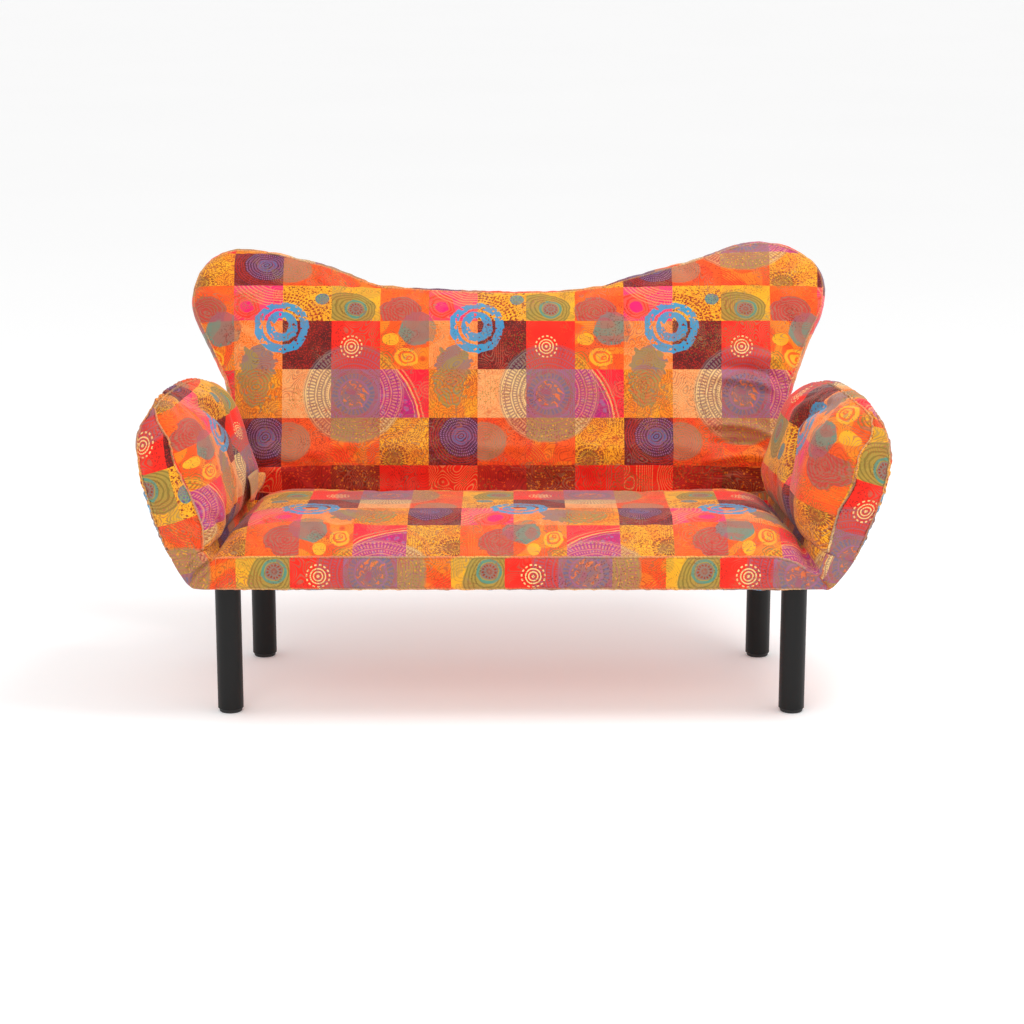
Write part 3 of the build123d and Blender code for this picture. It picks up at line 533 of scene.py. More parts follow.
# %% Curves of the arms
ARM_ACROSS, ARM_UP = 38, 62
outer_lines = {
    "left": np.array([(0.03, -0.0385), (0.064, -0.0455), (0.11, -0.0462), (0.132, -0.0462), (0.17, -0.0437),
                      (0.209, -0.0413), (0.242, -0.0380), (0.277, -0.0315), (0.305, -0.0215), (0.324, -0.008),
                      (0.340, 0.0125), (0.352, 0.024), (0.37, 0.030)]),
    "right": np.array([(0.03, -0.0475), (0.044, -0.0497), (0.098, -0.0537), (0.149, -0.0568), (0.18, -0.0563),
                       (0.205, -0.0550), (0.232, -0.0522), (0.261, -0.0470), (0.284, -0.0397),
                       (0.307, -0.0271), (0.324, -0.0128), (0.337, 0.0010), (0.36, 0.010)]),
}
inner_lines = {
    "left": np.array([(0.03, 0.0285), (0.059, 0.0375), (0.087, 0.0425), (0.117, 0.0415), (0.17, 0.0410),
                      (0.204, 0.0387), (0.222, 0.0352), (0.261, 0.0360), (0.283, 0.0372), (0.301, 0.0330),
                      (0.324, 0.0275), (0.345, 0.0310), (0.37, 0.036)]),
    "right": np.array([(0.03, 0.0138), (0.059, 0.0130), (0.083, 0.0150), (0.108, 0.0158), (0.129, 0.0170),
                       (0.148, 0.0150), (0.17, 0.0108), (0.195, 0.0090), (0.236, 0.0140), (0.256, 0.0165),
                       (0.275, 0.0114), (0.29, 0.0045), (0.308, 0.0045), (0.325, 0.0085), (0.36, 0.016)]),
}
tips = {"left": (0.354, 0.358, 0.346, 0.300), "right": (0.338, 0.348, 0.339, 0.297)}
tip_places = [0, 0.16, 0.34, 0.52]  # where along the arm each tip is measured
arm_borders = {side: border(sides) for side, sides in arm_sides.items()}
valleys = {
    "left": [
        ([(0.335, 0.08), (0.310, 0.19), (0.270, 0.27), (0.215, 0.325), (0.155, 0.295), (0.100, 0.25)],
         0.020, -0.024),
        ([(0.300, 0.42), (0.255, 0.385), (0.205, 0.36)], 0.014, -0.010),
        ([(0.32, 0.10), (0.25, 0.11), (0.15, 0.10)], 0.045, 0.006),
        ([(0.120, 0.23), (0.080, 0.20), (0.055, 0.18)], 0.010, -0.009),
        ([(0.110, 0.10), (0.080, 0.11), (0.050, 0.13)], 0.010, -0.007),
        ([(0.10, 0.025), (0.075, 0.05), (0.050, 0.08)], 0.008, -0.006),
        ([(0.18, 0.46), (0.12, 0.43), (0.06, 0.40)], 0.016, -0.010),
    ],
    "right": [
        ([(0.330, 0.10), (0.292, 0.225), (0.262, 0.268), (0.225, 0.285), (0.175, 0.235), (0.10, 0.18)],
         0.020, -0.025),
        ([(0.340, 0.19), (0.300, 0.31), (0.262, 0.355), (0.220, 0.35)], 0.012, -0.007),
        ([(0.30, 0.10), (0.22, 0.12), (0.13, 0.09)], 0.045, 0.006),
        ([(0.310, 0.02), (0.285, 0.06), (0.270, 0.11)], 0.006, -0.004),
        ([(0.285, 0.02), (0.265, 0.06), (0.255, 0.10)], 0.006, -0.004),
        ([(0.125, 0.19), (0.085, 0.175), (0.055, 0.17)], 0.010, -0.010),
        ([(0.10, 0.02), (0.08, 0.06), (0.05, 0.12)], 0.010, -0.006),
    ],
}
print("valleys:", {side: len(paths) for side, paths in valleys.items()})

# %% [markdown]
# An arm's outer side follows the curve of its tip. The inner seam is as the strip is cut in front and levels
# out behind. Between them the face is domed, and the valleys are pressed into it.

# %% Shape of the arms


def arm_under(side):
    """The outer curve follows the tip, which is lower at the rear."""
    def height(p):
        reach = p[:, 0] * tips[side][0] / np.interp(p[:, 1], tip_places, tips[side])
        rear = np.clip((p[:, 1] - 0.40) / 0.11, 0, 1)
        spread = np.exp(-(((reach - 0.30) / 0.03) ** 2)) * np.clip((p[:, 1] - 0.01) / 0.03, 0, 1)
        return np.interp(reach, *outer_lines[side].T) * (1 - 0.25 * rear) - 0.003 * spread
    return height


def arm_seam(side):
    """Height of the inner seam: as the strip is cut at the front, then level along the tip."""
    def height(p):
        front = np.clip(p[:, 1] / 0.09, 0, 1)
        level = (1 - front) * np.interp(p[:, 0], *inner_lines[side].T) + front * 0.038
        return np.maximum(level, arm_under(side)(p) + 0.006)
    return height


def arm_face(side):
    def height(p):
        d, _ = to_line(p, arm_borders[side])
        crown = 0.042 + (0.012 if side == "right" else 0.006) * np.clip((p[:, 1] - 0.05) / 0.3, 0, 1)
        return arm_seam(side)(p) + crown * dome(d, 0.095, 0.62) + crease(p, valleys[side]) * dome(d, 0.05)
    return height


print("arm shapes ready")

# %% [markdown]
# Each arm's cloth is laid on from the photograph's rows and columns of patches. The front strips were cut
# apart from the faces, so each has its own step in the print.

# %% Arm cushions


def arm_print(side):
    if side == "left":
        return lambda p: np.column_stack([2 + p[:, 1] / PATCH, 1 + (0.250 - p[:, 0]) / 0.085])
    return lambda p: np.column_stack([2 + p[:, 1] / PATCH, 4 + (p[:, 0] - 0.12) / 0.113])


def arm_front_print(side, up, from_inner, from_outer):
    """The strip that closes an arm's front: up is the height along the arm, the others distances from the
    two seams. The left strip was cut upside down."""
    if side == "left":
        return np.column_stack([1.54 - from_outer / PATCH, 1.523 + (up - 0.284) / PATCH])
    return np.column_stack([0.957 + from_inner / PATCH, 1.523 + (0.149 - up) / PATCH])


def arm_strip_print(side):
    over = wrap_over(arm_print(side))

    def strip(line, outward, down, depth, place):
        if place >= ARM_ACROSS:
            return over(line, outward, down, depth, place)
        return arm_front_print(side, line[:, 0], down, depth - down)
    return strip


def arm_under_print(p):
    return np.column_stack([p[:, 1] / PATCH, 2.3 - p[:, 0] / PATCH])


arm_cushions, arm_seams = {}, {}
for side, panel in arm_panels.items():
    arm_cushions[side], inner_seam, outer_seam = sew(
        f"{side}_arm_cushion", panel, arm_sides[side], ARM_ACROSS, ARM_UP, arm_face(side), arm_under(side),
        arm_strip_print(side), arm_print(side), arm_under_print)
    arm_seams[side] = inner_seam, outer_seam

# %% [markdown]
# The cloth doesn't stop at the hinges. A gusset of the same cloth fills the wedge between the seat and each
# folding panel and hides the hinge. It is sewn with the same helper, only that its face is the section across
# the hinge line, and its strip is the long way round it.

# %% Sew a gusset
TUCK = 0.042  # how far a gusset reaches past the hinge line, under the cushion's edge
GUSSET_ACROSS, GUSSET_UP, GUSSET_ROWS = 32, 18, 60
ARM_GUSSET, BACK_GUSSET = 0.540, 0.600  # length along an arm's hinge, and half the length along the back's


def section(b, n):
    """A point of a folding panel's own section, seen in the section across its hinge."""
    return (b * math.cos(RAISE) - n * math.sin(RAISE), b * math.sin(RAISE) + n * math.cos(RAISE))


def gusset(name, panel, corner, outer, inner, valley, length, face, face_print, strip_print, front=None):
    """corner is the low outer corner of the section, outer and inner the panel's edges, valley the crease.
    front is the upper edge at the front end, where it differs."""
    middle = ((corner[0] + outer[0]) / 2 + 0.003, (corner[1] + outer[1]) / 2)
    low = [(-TUCK, -HALF), (corner[0] - 0.02, -HALF), corner, middle, outer]
    high = [(-TUCK, HALF), valley, inner]
    sides = (low, [outer, inner], high, [(-TUCK, -HALF), (-TUCK, HALF)])
    shift = smooth(front or high, GUSSET_ACROSS) - smooth(high, GUSSET_ACROSS)
    fall = np.linspace(0.06, 0.03, GUSSET_ACROSS + 1)

    def bend(points, place):
        near = np.exp(-(((points[:, 2] - face(points[:, :2])) / fall[place[:, 0]]) ** 2))
        points[:, :2] += shift[place[:, 0]] * ((place[:, 1] / GUSSET_UP) ** 1.5 * near)[:, None]
        return points

    return sew(name, panel, sides, GUSSET_ACROSS, GUSSET_UP, face, lambda p: np.full(len(p), -length),
               strip_print, face_print, face_print, bulge=0.002, rows=GUSSET_ROWS, bend=bend)[0]


print("gussets can be sewn")

# %% [markdown]
# At the front corners the seat's strip and the arm's strip meet in the gusset's end. On the left they meet in
# a mitre with bunched folds, on the right in a sagging notch. A line across the end says where one strip's
# print stops and the other's begins.

# %% Front ends of the gussets
corners = {"left": (0.0150, -0.0290), "right": (0.0115, -0.0345)}
mitres = {"left": np.array([(-0.034, 0.036), (0.004, -0.002), (0.015, -0.029)]),
          "right": np.array([(-0.018, 0.002), (0.0045, -0.030), (0.0115, -0.0345)])}
notch = [(-TUCK, 0.010), (-0.030, 0.003), (-0.0185, 0.001), (-0.010, 0.023), (-0.0007, 0.0413)]
lips = {"left": [(-TUCK, 0.033), (-0.031, 0.030), section(START, 0.031)], "right": notch}


def cap_face(side):
    """A slight dome that is tucked in at the seat's end."""
    low = [(-TUCK, -HALF), (corners[side][0] - 0.02, -HALF), corners[side], section(START, -0.044)]
    edge = smooth(low, 60)

    def height(p):
        tucked = 0.0012 * np.clip((-p[:, 0] - 0.036) / 0.005, 0, 1)
        return 0.005 * dome(to_line(p, edge)[0], 0.030, 0.6) - tucked
    return height


def cap_print(side):
    """Left of the mitre the cap is cut like the seat's strip, right of it like the arm's."""
    def printed(p):
        line = mitres[side]
        beyond = p[:, 0] > np.interp(p[:, 1], line[::-1, 1], line[::-1, 0])
        sign = -1 if side == "left" else 1
        seat_part = front_strip_print(HALF - p[:, 1], sign * (HINGE_X + p[:, 0]))
        up = p[:, 0] * math.cos(RAISE) + p[:, 1] * math.sin(RAISE)
        across = -p[:, 0] * math.sin(RAISE) + p[:, 1] * math.cos(RAISE)
        from_inner, from_outer = inner_lines[side][0, 1] - across, across - outer_lines[side][0, 1]
        arm_part = arm_front_print(side, up, from_inner, from_outer)
        return np.where(beyond[:, None], arm_part, seat_part)
    return printed


print("front ends drawn")

# %% [markdown]
# Now the three gussets. Along their length the crease takes the folding panel's print on its upper side, and
# the rest carries on from the seat, as if the cloth had been pushed down into the gap.

# %% Gussets


def gusset_strip(side):
    """The crease takes the arm's print on its upper side, the rest carries on from the seat."""
    sign = -1 if side == "left" else 1

    def strip(line, outward, down, depth, place):
        rear = down - 0.005
        if GUSSET_ACROSS + GUSSET_UP <= place < GUSSET_ACROSS * 1.5 + GUSSET_UP:
            up = START - 0.9 * np.hypot(*(line - section(START, 0.038)).T)
            return arm_print(side)(np.column_stack([up, rear]))
        along = sign * (HINGE_X + line[:, 0]) + SEAT_PRINT_X + 0.3 * line[:, 1]
        return np.column_stack([2 + np.interp(rear, seat_rise[:, 0], seat_run) / PATCH, along / PATCH])
    return strip


def back_gusset_strip(line, outward, down, depth, place):
    x = BACK_GUSSET - down
    return np.column_stack([2 + seat_run[-1] / PATCH + (line[:, 0] + START) / PATCH,
                            (x + SEAT_PRINT_X) / PATCH])


gussets = {}
for side, sign in (("left", -1), ("right", 1)):
    c, s = math.cos(SPLAY), math.sin(SPLAY)
    across_hinge = Panel(arm_panels[side].origin, (sign * c, s, 0), (0, 0, 1), (sign * s, -c, 0))
    outer_edge = section(START + 0.003, outer_lines[side][0, 1] - 0.001)
    gussets[side] = across_hinge, gusset(
        f"{side}_arm_gusset", across_hinge, corners[side], outer_edge, section(START + 0.002, 0.036),
        (-0.030, 0.028), ARM_GUSSET, cap_face(side), cap_print(side), gusset_strip(side), front=lips[side])

across_back = Panel(back_panel.origin, (0, 1, 0), (0, 0, 1), (1, 0, 0))
gussets["back"] = across_back, gusset(
    "back_gusset", across_back, (0.012, -0.033), section(0.040, -HALF), section(0.040, HALF + 0.001),
    (-0.030, 0.019), BACK_GUSSET, lambda p: np.full(len(p), BACK_GUSSET), lambda p: p / PATCH,
    back_gusset_strip)

# %% [markdown]
# A drawn shape looks stiff, so each cushion is blown up a little with Cloth: the seams are pinned, the cloth
# is cut slightly too big, and pressure pushes it out until small puckers and soft dents form. No point may
# move further than a cap. Then one round of subdivision smooths the squares.

# %% Puff the cushions
PRESSURE = 4.0
FRAMES = 16
PUFF_CAPS = (0.006, 0.007, 0.008, 0.008)  # for the seat, the back and the arms, in metres
SPARE_CLOTH = (0.02, 0.025, 0.035, 0.035)


def puff(obj, cap, spare):
    """spare is how much too big the cloth is cut, as a share."""
    rest = np.array([v.co for v in obj.data.vertices])
    cloth = obj.modifiers.new("puff", "CLOTH")
    settings = cloth.settings
    settings.quality = 4
    settings.mass = 0.3
    settings.use_pressure = True
    settings.uniform_pressure_force = PRESSURE
    settings.vertex_group_mass = "seams"
    settings.pin_stiffness = 1.0
    settings.shrink_min = -spare
    settings.effector_weights.gravity = 0.0
    cloth.point_cache.frame_start = 1
    cloth.point_cache.frame_end = FRAMES
    for number in range(1, FRAMES + 1):
        scene.frame_set(number)
    settled = obj.evaluated_get(bpy.context.evaluated_depsgraph_get())
    moved = np.array([v.co for v in settled.data.vertices]) - rest
    far = np.linalg.norm(moved, axis=1)
    moved *= np.minimum(1, cap / np.maximum(far, 1e-9))[:, None]
    obj.modifiers.remove(cloth)
    scene.frame_set(1)
    obj.data.vertices.foreach_set("co", (rest + moved).ravel())
    print(obj.name, "puffed by up to", round(float(np.linalg.norm(moved, axis=1).max()) * 1000, 1), "mm")


def plain(obj):
    """Turns a piece with its modifiers into a plain mesh."""
    made = bpy.data.meshes.new_from_object(obj.evaluated_get(bpy.context.evaluated_depsgraph_get()))
    obj.modifiers.clear()
    obj.data = made
    made.name = obj.name
    return made


cushions = [seat_cushion, back_cushion, *arm_cushions.values()]
for obj, cap, spare in zip(cushions, PUFF_CAPS, SPARE_CLOTH):
    puff(obj, cap, spare)
for obj in cushions + [piece for _, piece in gussets.values()]:
    finer = obj.modifiers.new("finer", "SUBSURF")
    finer.levels = finer.render_levels = 1
    plain(obj)
print("squares after smoothing:", [len(o.data.polygons) for o in cushions])

# %% [markdown]
# Seams pucker: the thread gathers the cloth, and short wrinkles run away from the stitches. They are too
# fine for the simulation, so they are drawn as waves along each seam that fade within a few centimetres,
# together with the few long folds that the photograph shows.

# %% Puckers and folds


def ripple(at, lengths, seed):
    """An uneven wave along a seam, between -1 and 1."""
    rng = np.random.default_rng(seed)
    wave = np.zeros(len(at))
    for length in lengths:
        shift, swing = rng.uniform(0, 2 * math.pi, 2)
        wave += np.sin(2 * math.pi * at / length + shift + 0.8 * np.sin(at / 0.09 + swing))
    return wave / len(lengths)


def pucker(obj, panel, seams, folds, seed, tall=0.0016, fade=0.022, groove=0.0022):
    """Gathers the cloth along the seams, and lays folds, which are paths on the panel, on its face."""
    mesh = obj.data
    world = np.empty(len(mesh.vertices) * 3)
    mesh.vertices.foreach_get("co", world)
    world = world.reshape(-1, 3)
    normals = np.array([v.normal for v in mesh.vertices])
    push = np.zeros(len(world))
    for number, seam in enumerate(seams):
        gap, at = to_line(world, seam)
        wave = ripple(at, (0.034, 0.021, 0.013), seed + number)
        push += tall * wave * np.exp(-gap / fade) * np.clip(gap / 0.004, 0, 1)
        push -= groove * np.exp(-((gap / 0.005) ** 2))
    local = panel.local(world)
    face = normals @ panel.axes[2] > 0.35
    push[face] += crease(local[face, :2], folds)
    mesh.vertices.foreach_set("co", (world + normals * push[:, None]).ravel())
    mesh.update()
    print(obj.name, "folds:", len(folds), "deepest", round(float(push.min()) * 1000, 1), "mm")


print("puckers ready")

# %% [markdown]
# The long folds, each as a path on its panel, a width and a height. On the real sofa they come from the way
# the cloth was pulled over the padding, which no rule gives, so they are listed one by one.

# %% Long folds
back_folds = [
    ([(0.60, 0.16), (0.53, 0.185), (0.43, 0.19)], 0.009, 0.014),
    ([(0.60, 0.125), (0.54, 0.150), (0.44, 0.150)], 0.007, -0.012),
    ([(0.59, 0.105), (0.53, 0.118), (0.43, 0.105)], 0.008, 0.012),
    ([(0.57, 0.062), (0.52, 0.085), (0.45, 0.072)], 0.007, -0.008),
    ([(0.62, 0.25), (0.56, 0.285), (0.45, 0.30)], 0.010, 0.012),
    ([(0.63, 0.28), (0.56, 0.315), (0.46, 0.325)], 0.008, -0.010),
    ([(0.64, 0.33), (0.57, 0.345), (0.48, 0.352)], 0.010, 0.006),
    ([(-0.58, 0.075), (-0.54, 0.100), (-0.48, 0.095)], 0.009, -0.006),
    ([(-0.60, 0.11), (-0.555, 0.135), (-0.51, 0.150)], 0.010, 0.005),
    ([(-0.66, 0.40), (-0.60, 0.42), (-0.52, 0.405)], 0.014, -0.003),
    ([(0.55, 0.07), (0.2, 0.062), (-0.2, 0.062), (-0.55, 0.07)], 0.020, -0.004),
    ([(0.50, 0.59), (0.47, 0.545), (0.46, 0.50)], 0.012, -0.004),
    ([(-0.47, 0.57), (-0.45, 0.53), (-0.44, 0.48)], 0.012, -0.004),
]
seat_folds = [
    ([(-0.60, 0.07), (-0.54, 0.10), (-0.47, 0.09)], 0.012, -0.004),
    ([(0.60, 0.05), (0.55, 0.09), (0.50, 0.10)], 0.012, -0.005),
    ([(0.59, 0.20), (0.53, 0.24), (0.47, 0.25)], 0.014, -0.004),
    ([(-0.57, 0.40), (-0.50, 0.38), (-0.43, 0.39)], 0.014, -0.005),
    ([(-0.45, 0.030), (-0.1, 0.034), (0.2, 0.028), (0.5, 0.032)], 0.008, -0.0025),
]
corner_folds = {
    "left": [([(-0.040, 0.036), (-0.012, 0.012), (0.004, -0.004), (0.014, -0.026)], 0.0040, -0.0080),
             ([(-0.036, 0.027), (-0.014, 0.002), (0.004, -0.016)], 0.0040, 0.0045),
             ([(-0.036, 0.016), (-0.018, -0.004), (0.002, -0.024)], 0.0030, -0.0040),
             ([(-0.010, 0.030), (0.006, 0.012), (0.014, -0.008)], 0.0035, 0.0040),
             ([(-0.002, 0.034), (0.012, 0.016), (0.020, -0.004)], 0.0030, -0.0035)],
    "right": [([(-0.018, 0.002), (-0.006, -0.014), (0.010, -0.033)], 0.0035, -0.0075),
              ([(-0.042, -0.004), (-0.026, -0.010), (-0.010, -0.020)], 0.0040, -0.0040),
              ([(-0.010, 0.014), (0.000, -0.004), (0.010, -0.024)], 0.0035, 0.0035)],
}
back_seams = [np.vstack([loop, loop[:1]]) for loop in (back_face_seam, back_rear_seam)]
arm_sewn = slice(0, 2 * ARM_ACROSS + ARM_UP)  # an arm's seams end where its lower edge begins
pucker(seat_cushion, seat_panel, seat_front_seams, seat_folds, 11)
pucker(back_cushion, back_panel, back_seams, back_folds, 21)
for number, side in enumerate(arm_panels):
    pucker(arm_cushions[side], arm_panels[side], [loop[arm_sewn] for loop in arm_seams[side]], [],
           31 + 10 * number, tall=0.0026, fade=0.026, groove=0.0045)
    pucker(gussets[side][1], gussets[side][0], [], corner_folds[side], 51 + number)

# %% [markdown]
# The print is drawn with shader nodes. It is a four by four block of patches that repeats over the whole
# cloth. Each patch has a name and a dye; then come layers of traditional ornament: specks, wavy contour
# lines, rosettes, suns and big faint wheels that lie across several patches. A small helper class wires the
# nodes, so that each layer is one readable line.

# %% Node helpers


def dye(red, green, blue):
    """A dye as seen on a screen, turned into the linear colour that shaders use."""
    return tuple((x / 12.92 if x <= 0.04045 else ((x + 0.055) / 1.055) ** 2.4)
                 for x in (red / 255, green / 255, blue / 255)) + (1.0,)


class Bench:
    """Places nodes in one tree and wires them as they are made."""

    def __init__(self, tree):
        self.tree = tree

    def node(self, kind, **settings):
        made = self.tree.nodes.new(kind)
        for name, value in settings.items():
            setattr(made, name, value)
        return made

    def feed(self, socket, value):
        if isinstance(value, bpy.types.NodeSocket):
            self.tree.links.new(value, socket)
        else:
            socket.default_value = value

    def math(self, operation, *values):
        made = self.node("ShaderNodeMath", operation=operation)
        for socket, value in zip(made.inputs, values):
            self.feed(socket, value)
        return made.outputs[0]

    def blend(self, share, below, above):
        made = self.node("ShaderNodeMix", data_type="RGBA")
        for socket, value in zip((made.inputs[0], made.inputs[6], made.inputs[7]), (share, below, above)):
            self.feed(socket, value)
        return made.outputs[2]

    def between(self, value, low, high):
        """Runs smoothly from 0 at low to 1 at high, and stays there. The smooth kind needs no clamp node,
        and long chains of clamp nodes are more than one shader can hold."""
        made = self.node("ShaderNodeMapRange", clamp=False, interpolation_type="SMOOTHSTEP")
        for socket, given in zip(made.inputs, (value, low, high)):
            self.feed(socket, given)
        return made.outputs[0]

    def noise(self, point, scale, detail=2.0, roughness=0.5):
        made = self.node("ShaderNodeTexNoise")
        self.feed(made.inputs["Vector"], point)
        for name, value in (("Scale", scale), ("Detail", detail), ("Roughness", roughness)):
            made.inputs[name].default_value = value
        return made.outputs["Fac"]

    def group(self, tree, **values):
        made = self.node("ShaderNodeGroup", node_tree=tree)
        for name, value in values.items():
            self.feed(made.inputs[name.replace("_", " ")], value)
        return made.outputs


def effect(name, inputs, outputs):
    """An empty shader node group with named sockets."""
    tree = bpy.data.node_groups.new(name, "ShaderNodeTree")
    for label, kind, value in inputs:
        socket = tree.interface.new_socket(label, in_out="INPUT", socket_type="NodeSocket" + kind)
        if value is not None:
            socket.default_value = value
    for label, kind in outputs:
        tree.interface.new_socket(label, in_out="OUTPUT", socket_type="NodeSocket" + kind)
    bench = Bench(tree)
    return tree, bench, bench.node("NodeGroupInput").outputs, bench.node("NodeGroupOutput").inputs


print("node helpers ready")

# %% [markdown]
# A rosette is the ornament behind most of this print: a wheel with rings and teeth. The group takes a point
# in patches, a centre, a radius and the numbers of rings and teeth, and gives masks for the disc, the rings,
# the teeth and the dots. Pull draws it out to a point on one side, which makes a paisley drop of it.
# Distances wrap round the four by four block, so a wheel may cross its border.

# %% Rosette group
rosette, b, given, out = effect(
    "rosette",
    [("Point", "Vector", None), ("Across", "Float", 0.0), ("Down", "Float", 0.0), ("Radius", "Float", 0.4),
     ("Rings", "Float", 4.0), ("Teeth", "Float", 16.0), ("Wobble", "Float", 0.0), ("Pull", "Float", 0.0),
     ("Turn", "Float", 0.0)],
    [("Disc", "Float"), ("Rings", "Float"), ("Teeth", "Float"), ("Dots", "Float"), ("Distance", "Float")])
split = b.node("ShaderNodeSeparateXYZ")
b.feed(split.inputs[0], given["Point"])
shake = b.math("MULTIPLY", b.math("SUBTRACT", b.noise(given["Point"], 5.0), 0.5), given["Wobble"])
offsets = []
for axis, centre in ((0, "Across"), (1, "Down")):
    moved = b.math("ADD", b.math("SUBTRACT", split.outputs[axis], given[centre]), shake)
    offsets.append(b.math("SUBTRACT", b.math("FLOORED_MODULO", b.math("ADD", moved, 2.0), 4.0), 2.0))
reach = b.math("SQRT", b.math("ADD", b.math("MULTIPLY", offsets[0], offsets[0]),
                              b.math("MULTIPLY", offsets[1], offsets[1])))
angle = b.math("ARCTAN2", offsets[1], offsets[0])
facing = b.math("MULTIPLY_ADD", b.math("COSINE", b.math("SUBTRACT", angle, given["Turn"])), 0.5, 0.5)
drawn = b.math("MULTIPLY_ADD", b.math("POWER", facing, 4.0), given["Pull"], 1.0)
share = b.math("DIVIDE", reach, b.math("MULTIPLY", given["Radius"], drawn))
disc = b.between(share, 1.02, 0.94)
ring_place = b.math("FRACT", b.math("MULTIPLY", share, given["Rings"]))
turns = b.math("DIVIDE", angle, 2 * math.pi)
tooth_place = b.math("FRACT", b.math("MULTIPLY_ADD", turns, given["Teeth"], 100.0))
b.feed(out["Disc"], disc)
b.feed(out["Rings"], b.math("MULTIPLY", disc, b.between(b.math("PINGPONG", ring_place, 0.5), 0.24, 0.36)))
b.feed(out["Teeth"], b.math("MULTIPLY", disc, b.between(b.math("PINGPONG", tooth_place, 0.5), 0.18, 0.30)))
dx, dy = b.math("SUBTRACT", ring_place, 0.5), b.math("SUBTRACT", tooth_place, 0.5)
spot = b.math("SQRT", b.math("ADD", b.math("MULTIPLY", dx, dx), b.math("MULTIPLY", dy, dy)))
b.feed(out["Dots"], b.math("MULTIPLY", disc, b.between(spot, 0.36, 0.24)))
b.feed(out["Distance"], share)
print("rosette group:", len(rosette.nodes), "nodes")

# %% [markdown]
# Two more ornaments: contour lines, which follow a soft cloudy field like the lines on a map, and specks,
# which are small scattered dots.

# %% Contour and speck groups
contours, b, given, out = effect(
    "contours",
    [("Point", "Vector", None), ("Scale", "Float", 1.0), ("Lines", "Float", 9.0), ("Share", "Float", 0.5)],
    [("Lines", "Float"), ("Field", "Float")])
scaled = b.node("ShaderNodeVectorMath", operation="SCALE")
b.feed(scaled.inputs[0], given["Point"])
b.feed(scaled.inputs["Scale"], given["Scale"])
field = b.noise(scaled.outputs[0], 1.0, detail=0.0)
stripe = b.math("PINGPONG", b.math("MULTIPLY", field, given["Lines"]), 0.5)
edge = b.math("MULTIPLY", given["Share"], 0.5)
b.feed(out["Lines"], b.between(b.math("SUBTRACT", stripe, edge), 0.04, -0.04))
b.feed(out["Field"], field)

specks, b, given, out = effect(
    "specks", [("Point", "Vector", None), ("Scale", "Float", 16.0), ("Size", "Float", 0.35)],
    [("Specks", "Float")])
cells = b.node("ShaderNodeTexVoronoi", feature="F1")
b.feed(cells.inputs["Vector"], given["Point"])
b.feed(cells.inputs["Scale"], given["Scale"])
b.feed(out["Specks"], b.between(b.math("SUBTRACT", cells.outputs["Distance"], given["Size"]), 0.06, -0.06))
print("contour and speck groups ready")

# %% [markdown]
# Now the block of patches itself. The dyes are given as they look on a screen, and each patch has a name and
# a dye for its ground. The names run along the rows of the block.

# %% Dyes and patches
dyes = {
    "mustard": dye(255, 192, 48), "amber": dye(255, 164, 36), "orange": dye(252, 110, 26),
    "tangerine": dye(255, 140, 52), "vermilion": dye(250, 46, 20), "maroon": dye(100, 12, 16),
    "wine": dye(130, 22, 36), "peach": dye(250, 190, 128), "rose": dye(198, 86, 86),
    "mauve": dye(176, 112, 128), "lilac": dye(172, 122, 166), "indigo": dye(72, 50, 92),
    "purple": dye(166, 40, 152), "pink": dye(255, 20, 130), "crimson": dye(248, 16, 66),
    "coral": dye(250, 104, 84), "olive": dye(146, 134, 62), "moss": dye(176, 160, 84),
    "teal": dye(84, 166, 150), "sky": dye(0, 172, 216), "blue": dye(100, 122, 168),
    "cream": dye(252, 222, 158), "cloud": dye(160, 148, 124), "ash": dye(148, 138, 130),
    "rust": dye(172, 62, 24), "brick": dye(200, 44, 32),
}
ground = {
    "dotted": "mustard", "paisley": "mustard", "dusk": "orange", "swirl": "pink",
    "stipple": "maroon", "sun": "vermilion", "wave": "orange", "apricot": "tangerine",
    "lace": "peach", "wheel": "mauve", "garden": "crimson", "meadow": "amber",
    "ember": "orange", "grove": "orange", "scribble": "mustard", "spiral": "maroon",
}
PATCH_NAMES = tuple(ground)
SIDE = 4.0  # patches along each side of the block
print(len(dyes), "dyes,", len(PATCH_NAMES), "patches")

# %% [markdown]
# The group starts with the place on the cloth. A little noise is added to it, so that no line of the print is
# quite straight, and the remainder after four patches tells where in the block the point lies.

# %% Place in the block
patchwork, b, given, out = effect(
    "patchwork", [("Cloth", "Vector", None), ("Wobble", "Float", 0.012)],
    [("Color", "Color"), ("Relief", "Float")])
jitter = b.node("ShaderNodeTexNoise")
b.feed(jitter.inputs["Vector"], given["Cloth"])
jitter.inputs["Scale"].default_value = 7.0
shifted = b.node("ShaderNodeVectorMath", operation="MULTIPLY_ADD")
centred = b.node("ShaderNodeVectorMath", operation="SUBTRACT")
b.feed(centred.inputs[0], jitter.outputs["Color"])
centred.inputs[1].default_value = (0.5, 0.5, 0.5)
b.feed(shifted.inputs[0], centred.outputs[0])
b.feed(shifted.inputs[1], given["Wobble"])
b.feed(shifted.inputs[2], given["Cloth"])
point = shifted.outputs[0]
parts = b.node("ShaderNodeSeparateXYZ")
b.feed(parts.inputs[0], point)
column, row = (b.math("FLOORED_MODULO", parts.outputs[k], SIDE) for k in (0, 1))
block = b.node("ShaderNodeCombineXYZ")
b.feed(block.inputs[0], column)
b.feed(block.inputs[1], row)
block = block.outputs[0]
column_number = b.math("FLOOR", column)
row_start = b.math("MULTIPLY", b.math("FLOOR", row), SIDE)
index = b.math("DIVIDE", b.math("ADD", column_number, row_start), SIDE**2)
print("place in the block:", len(patchwork.nodes), "nodes")

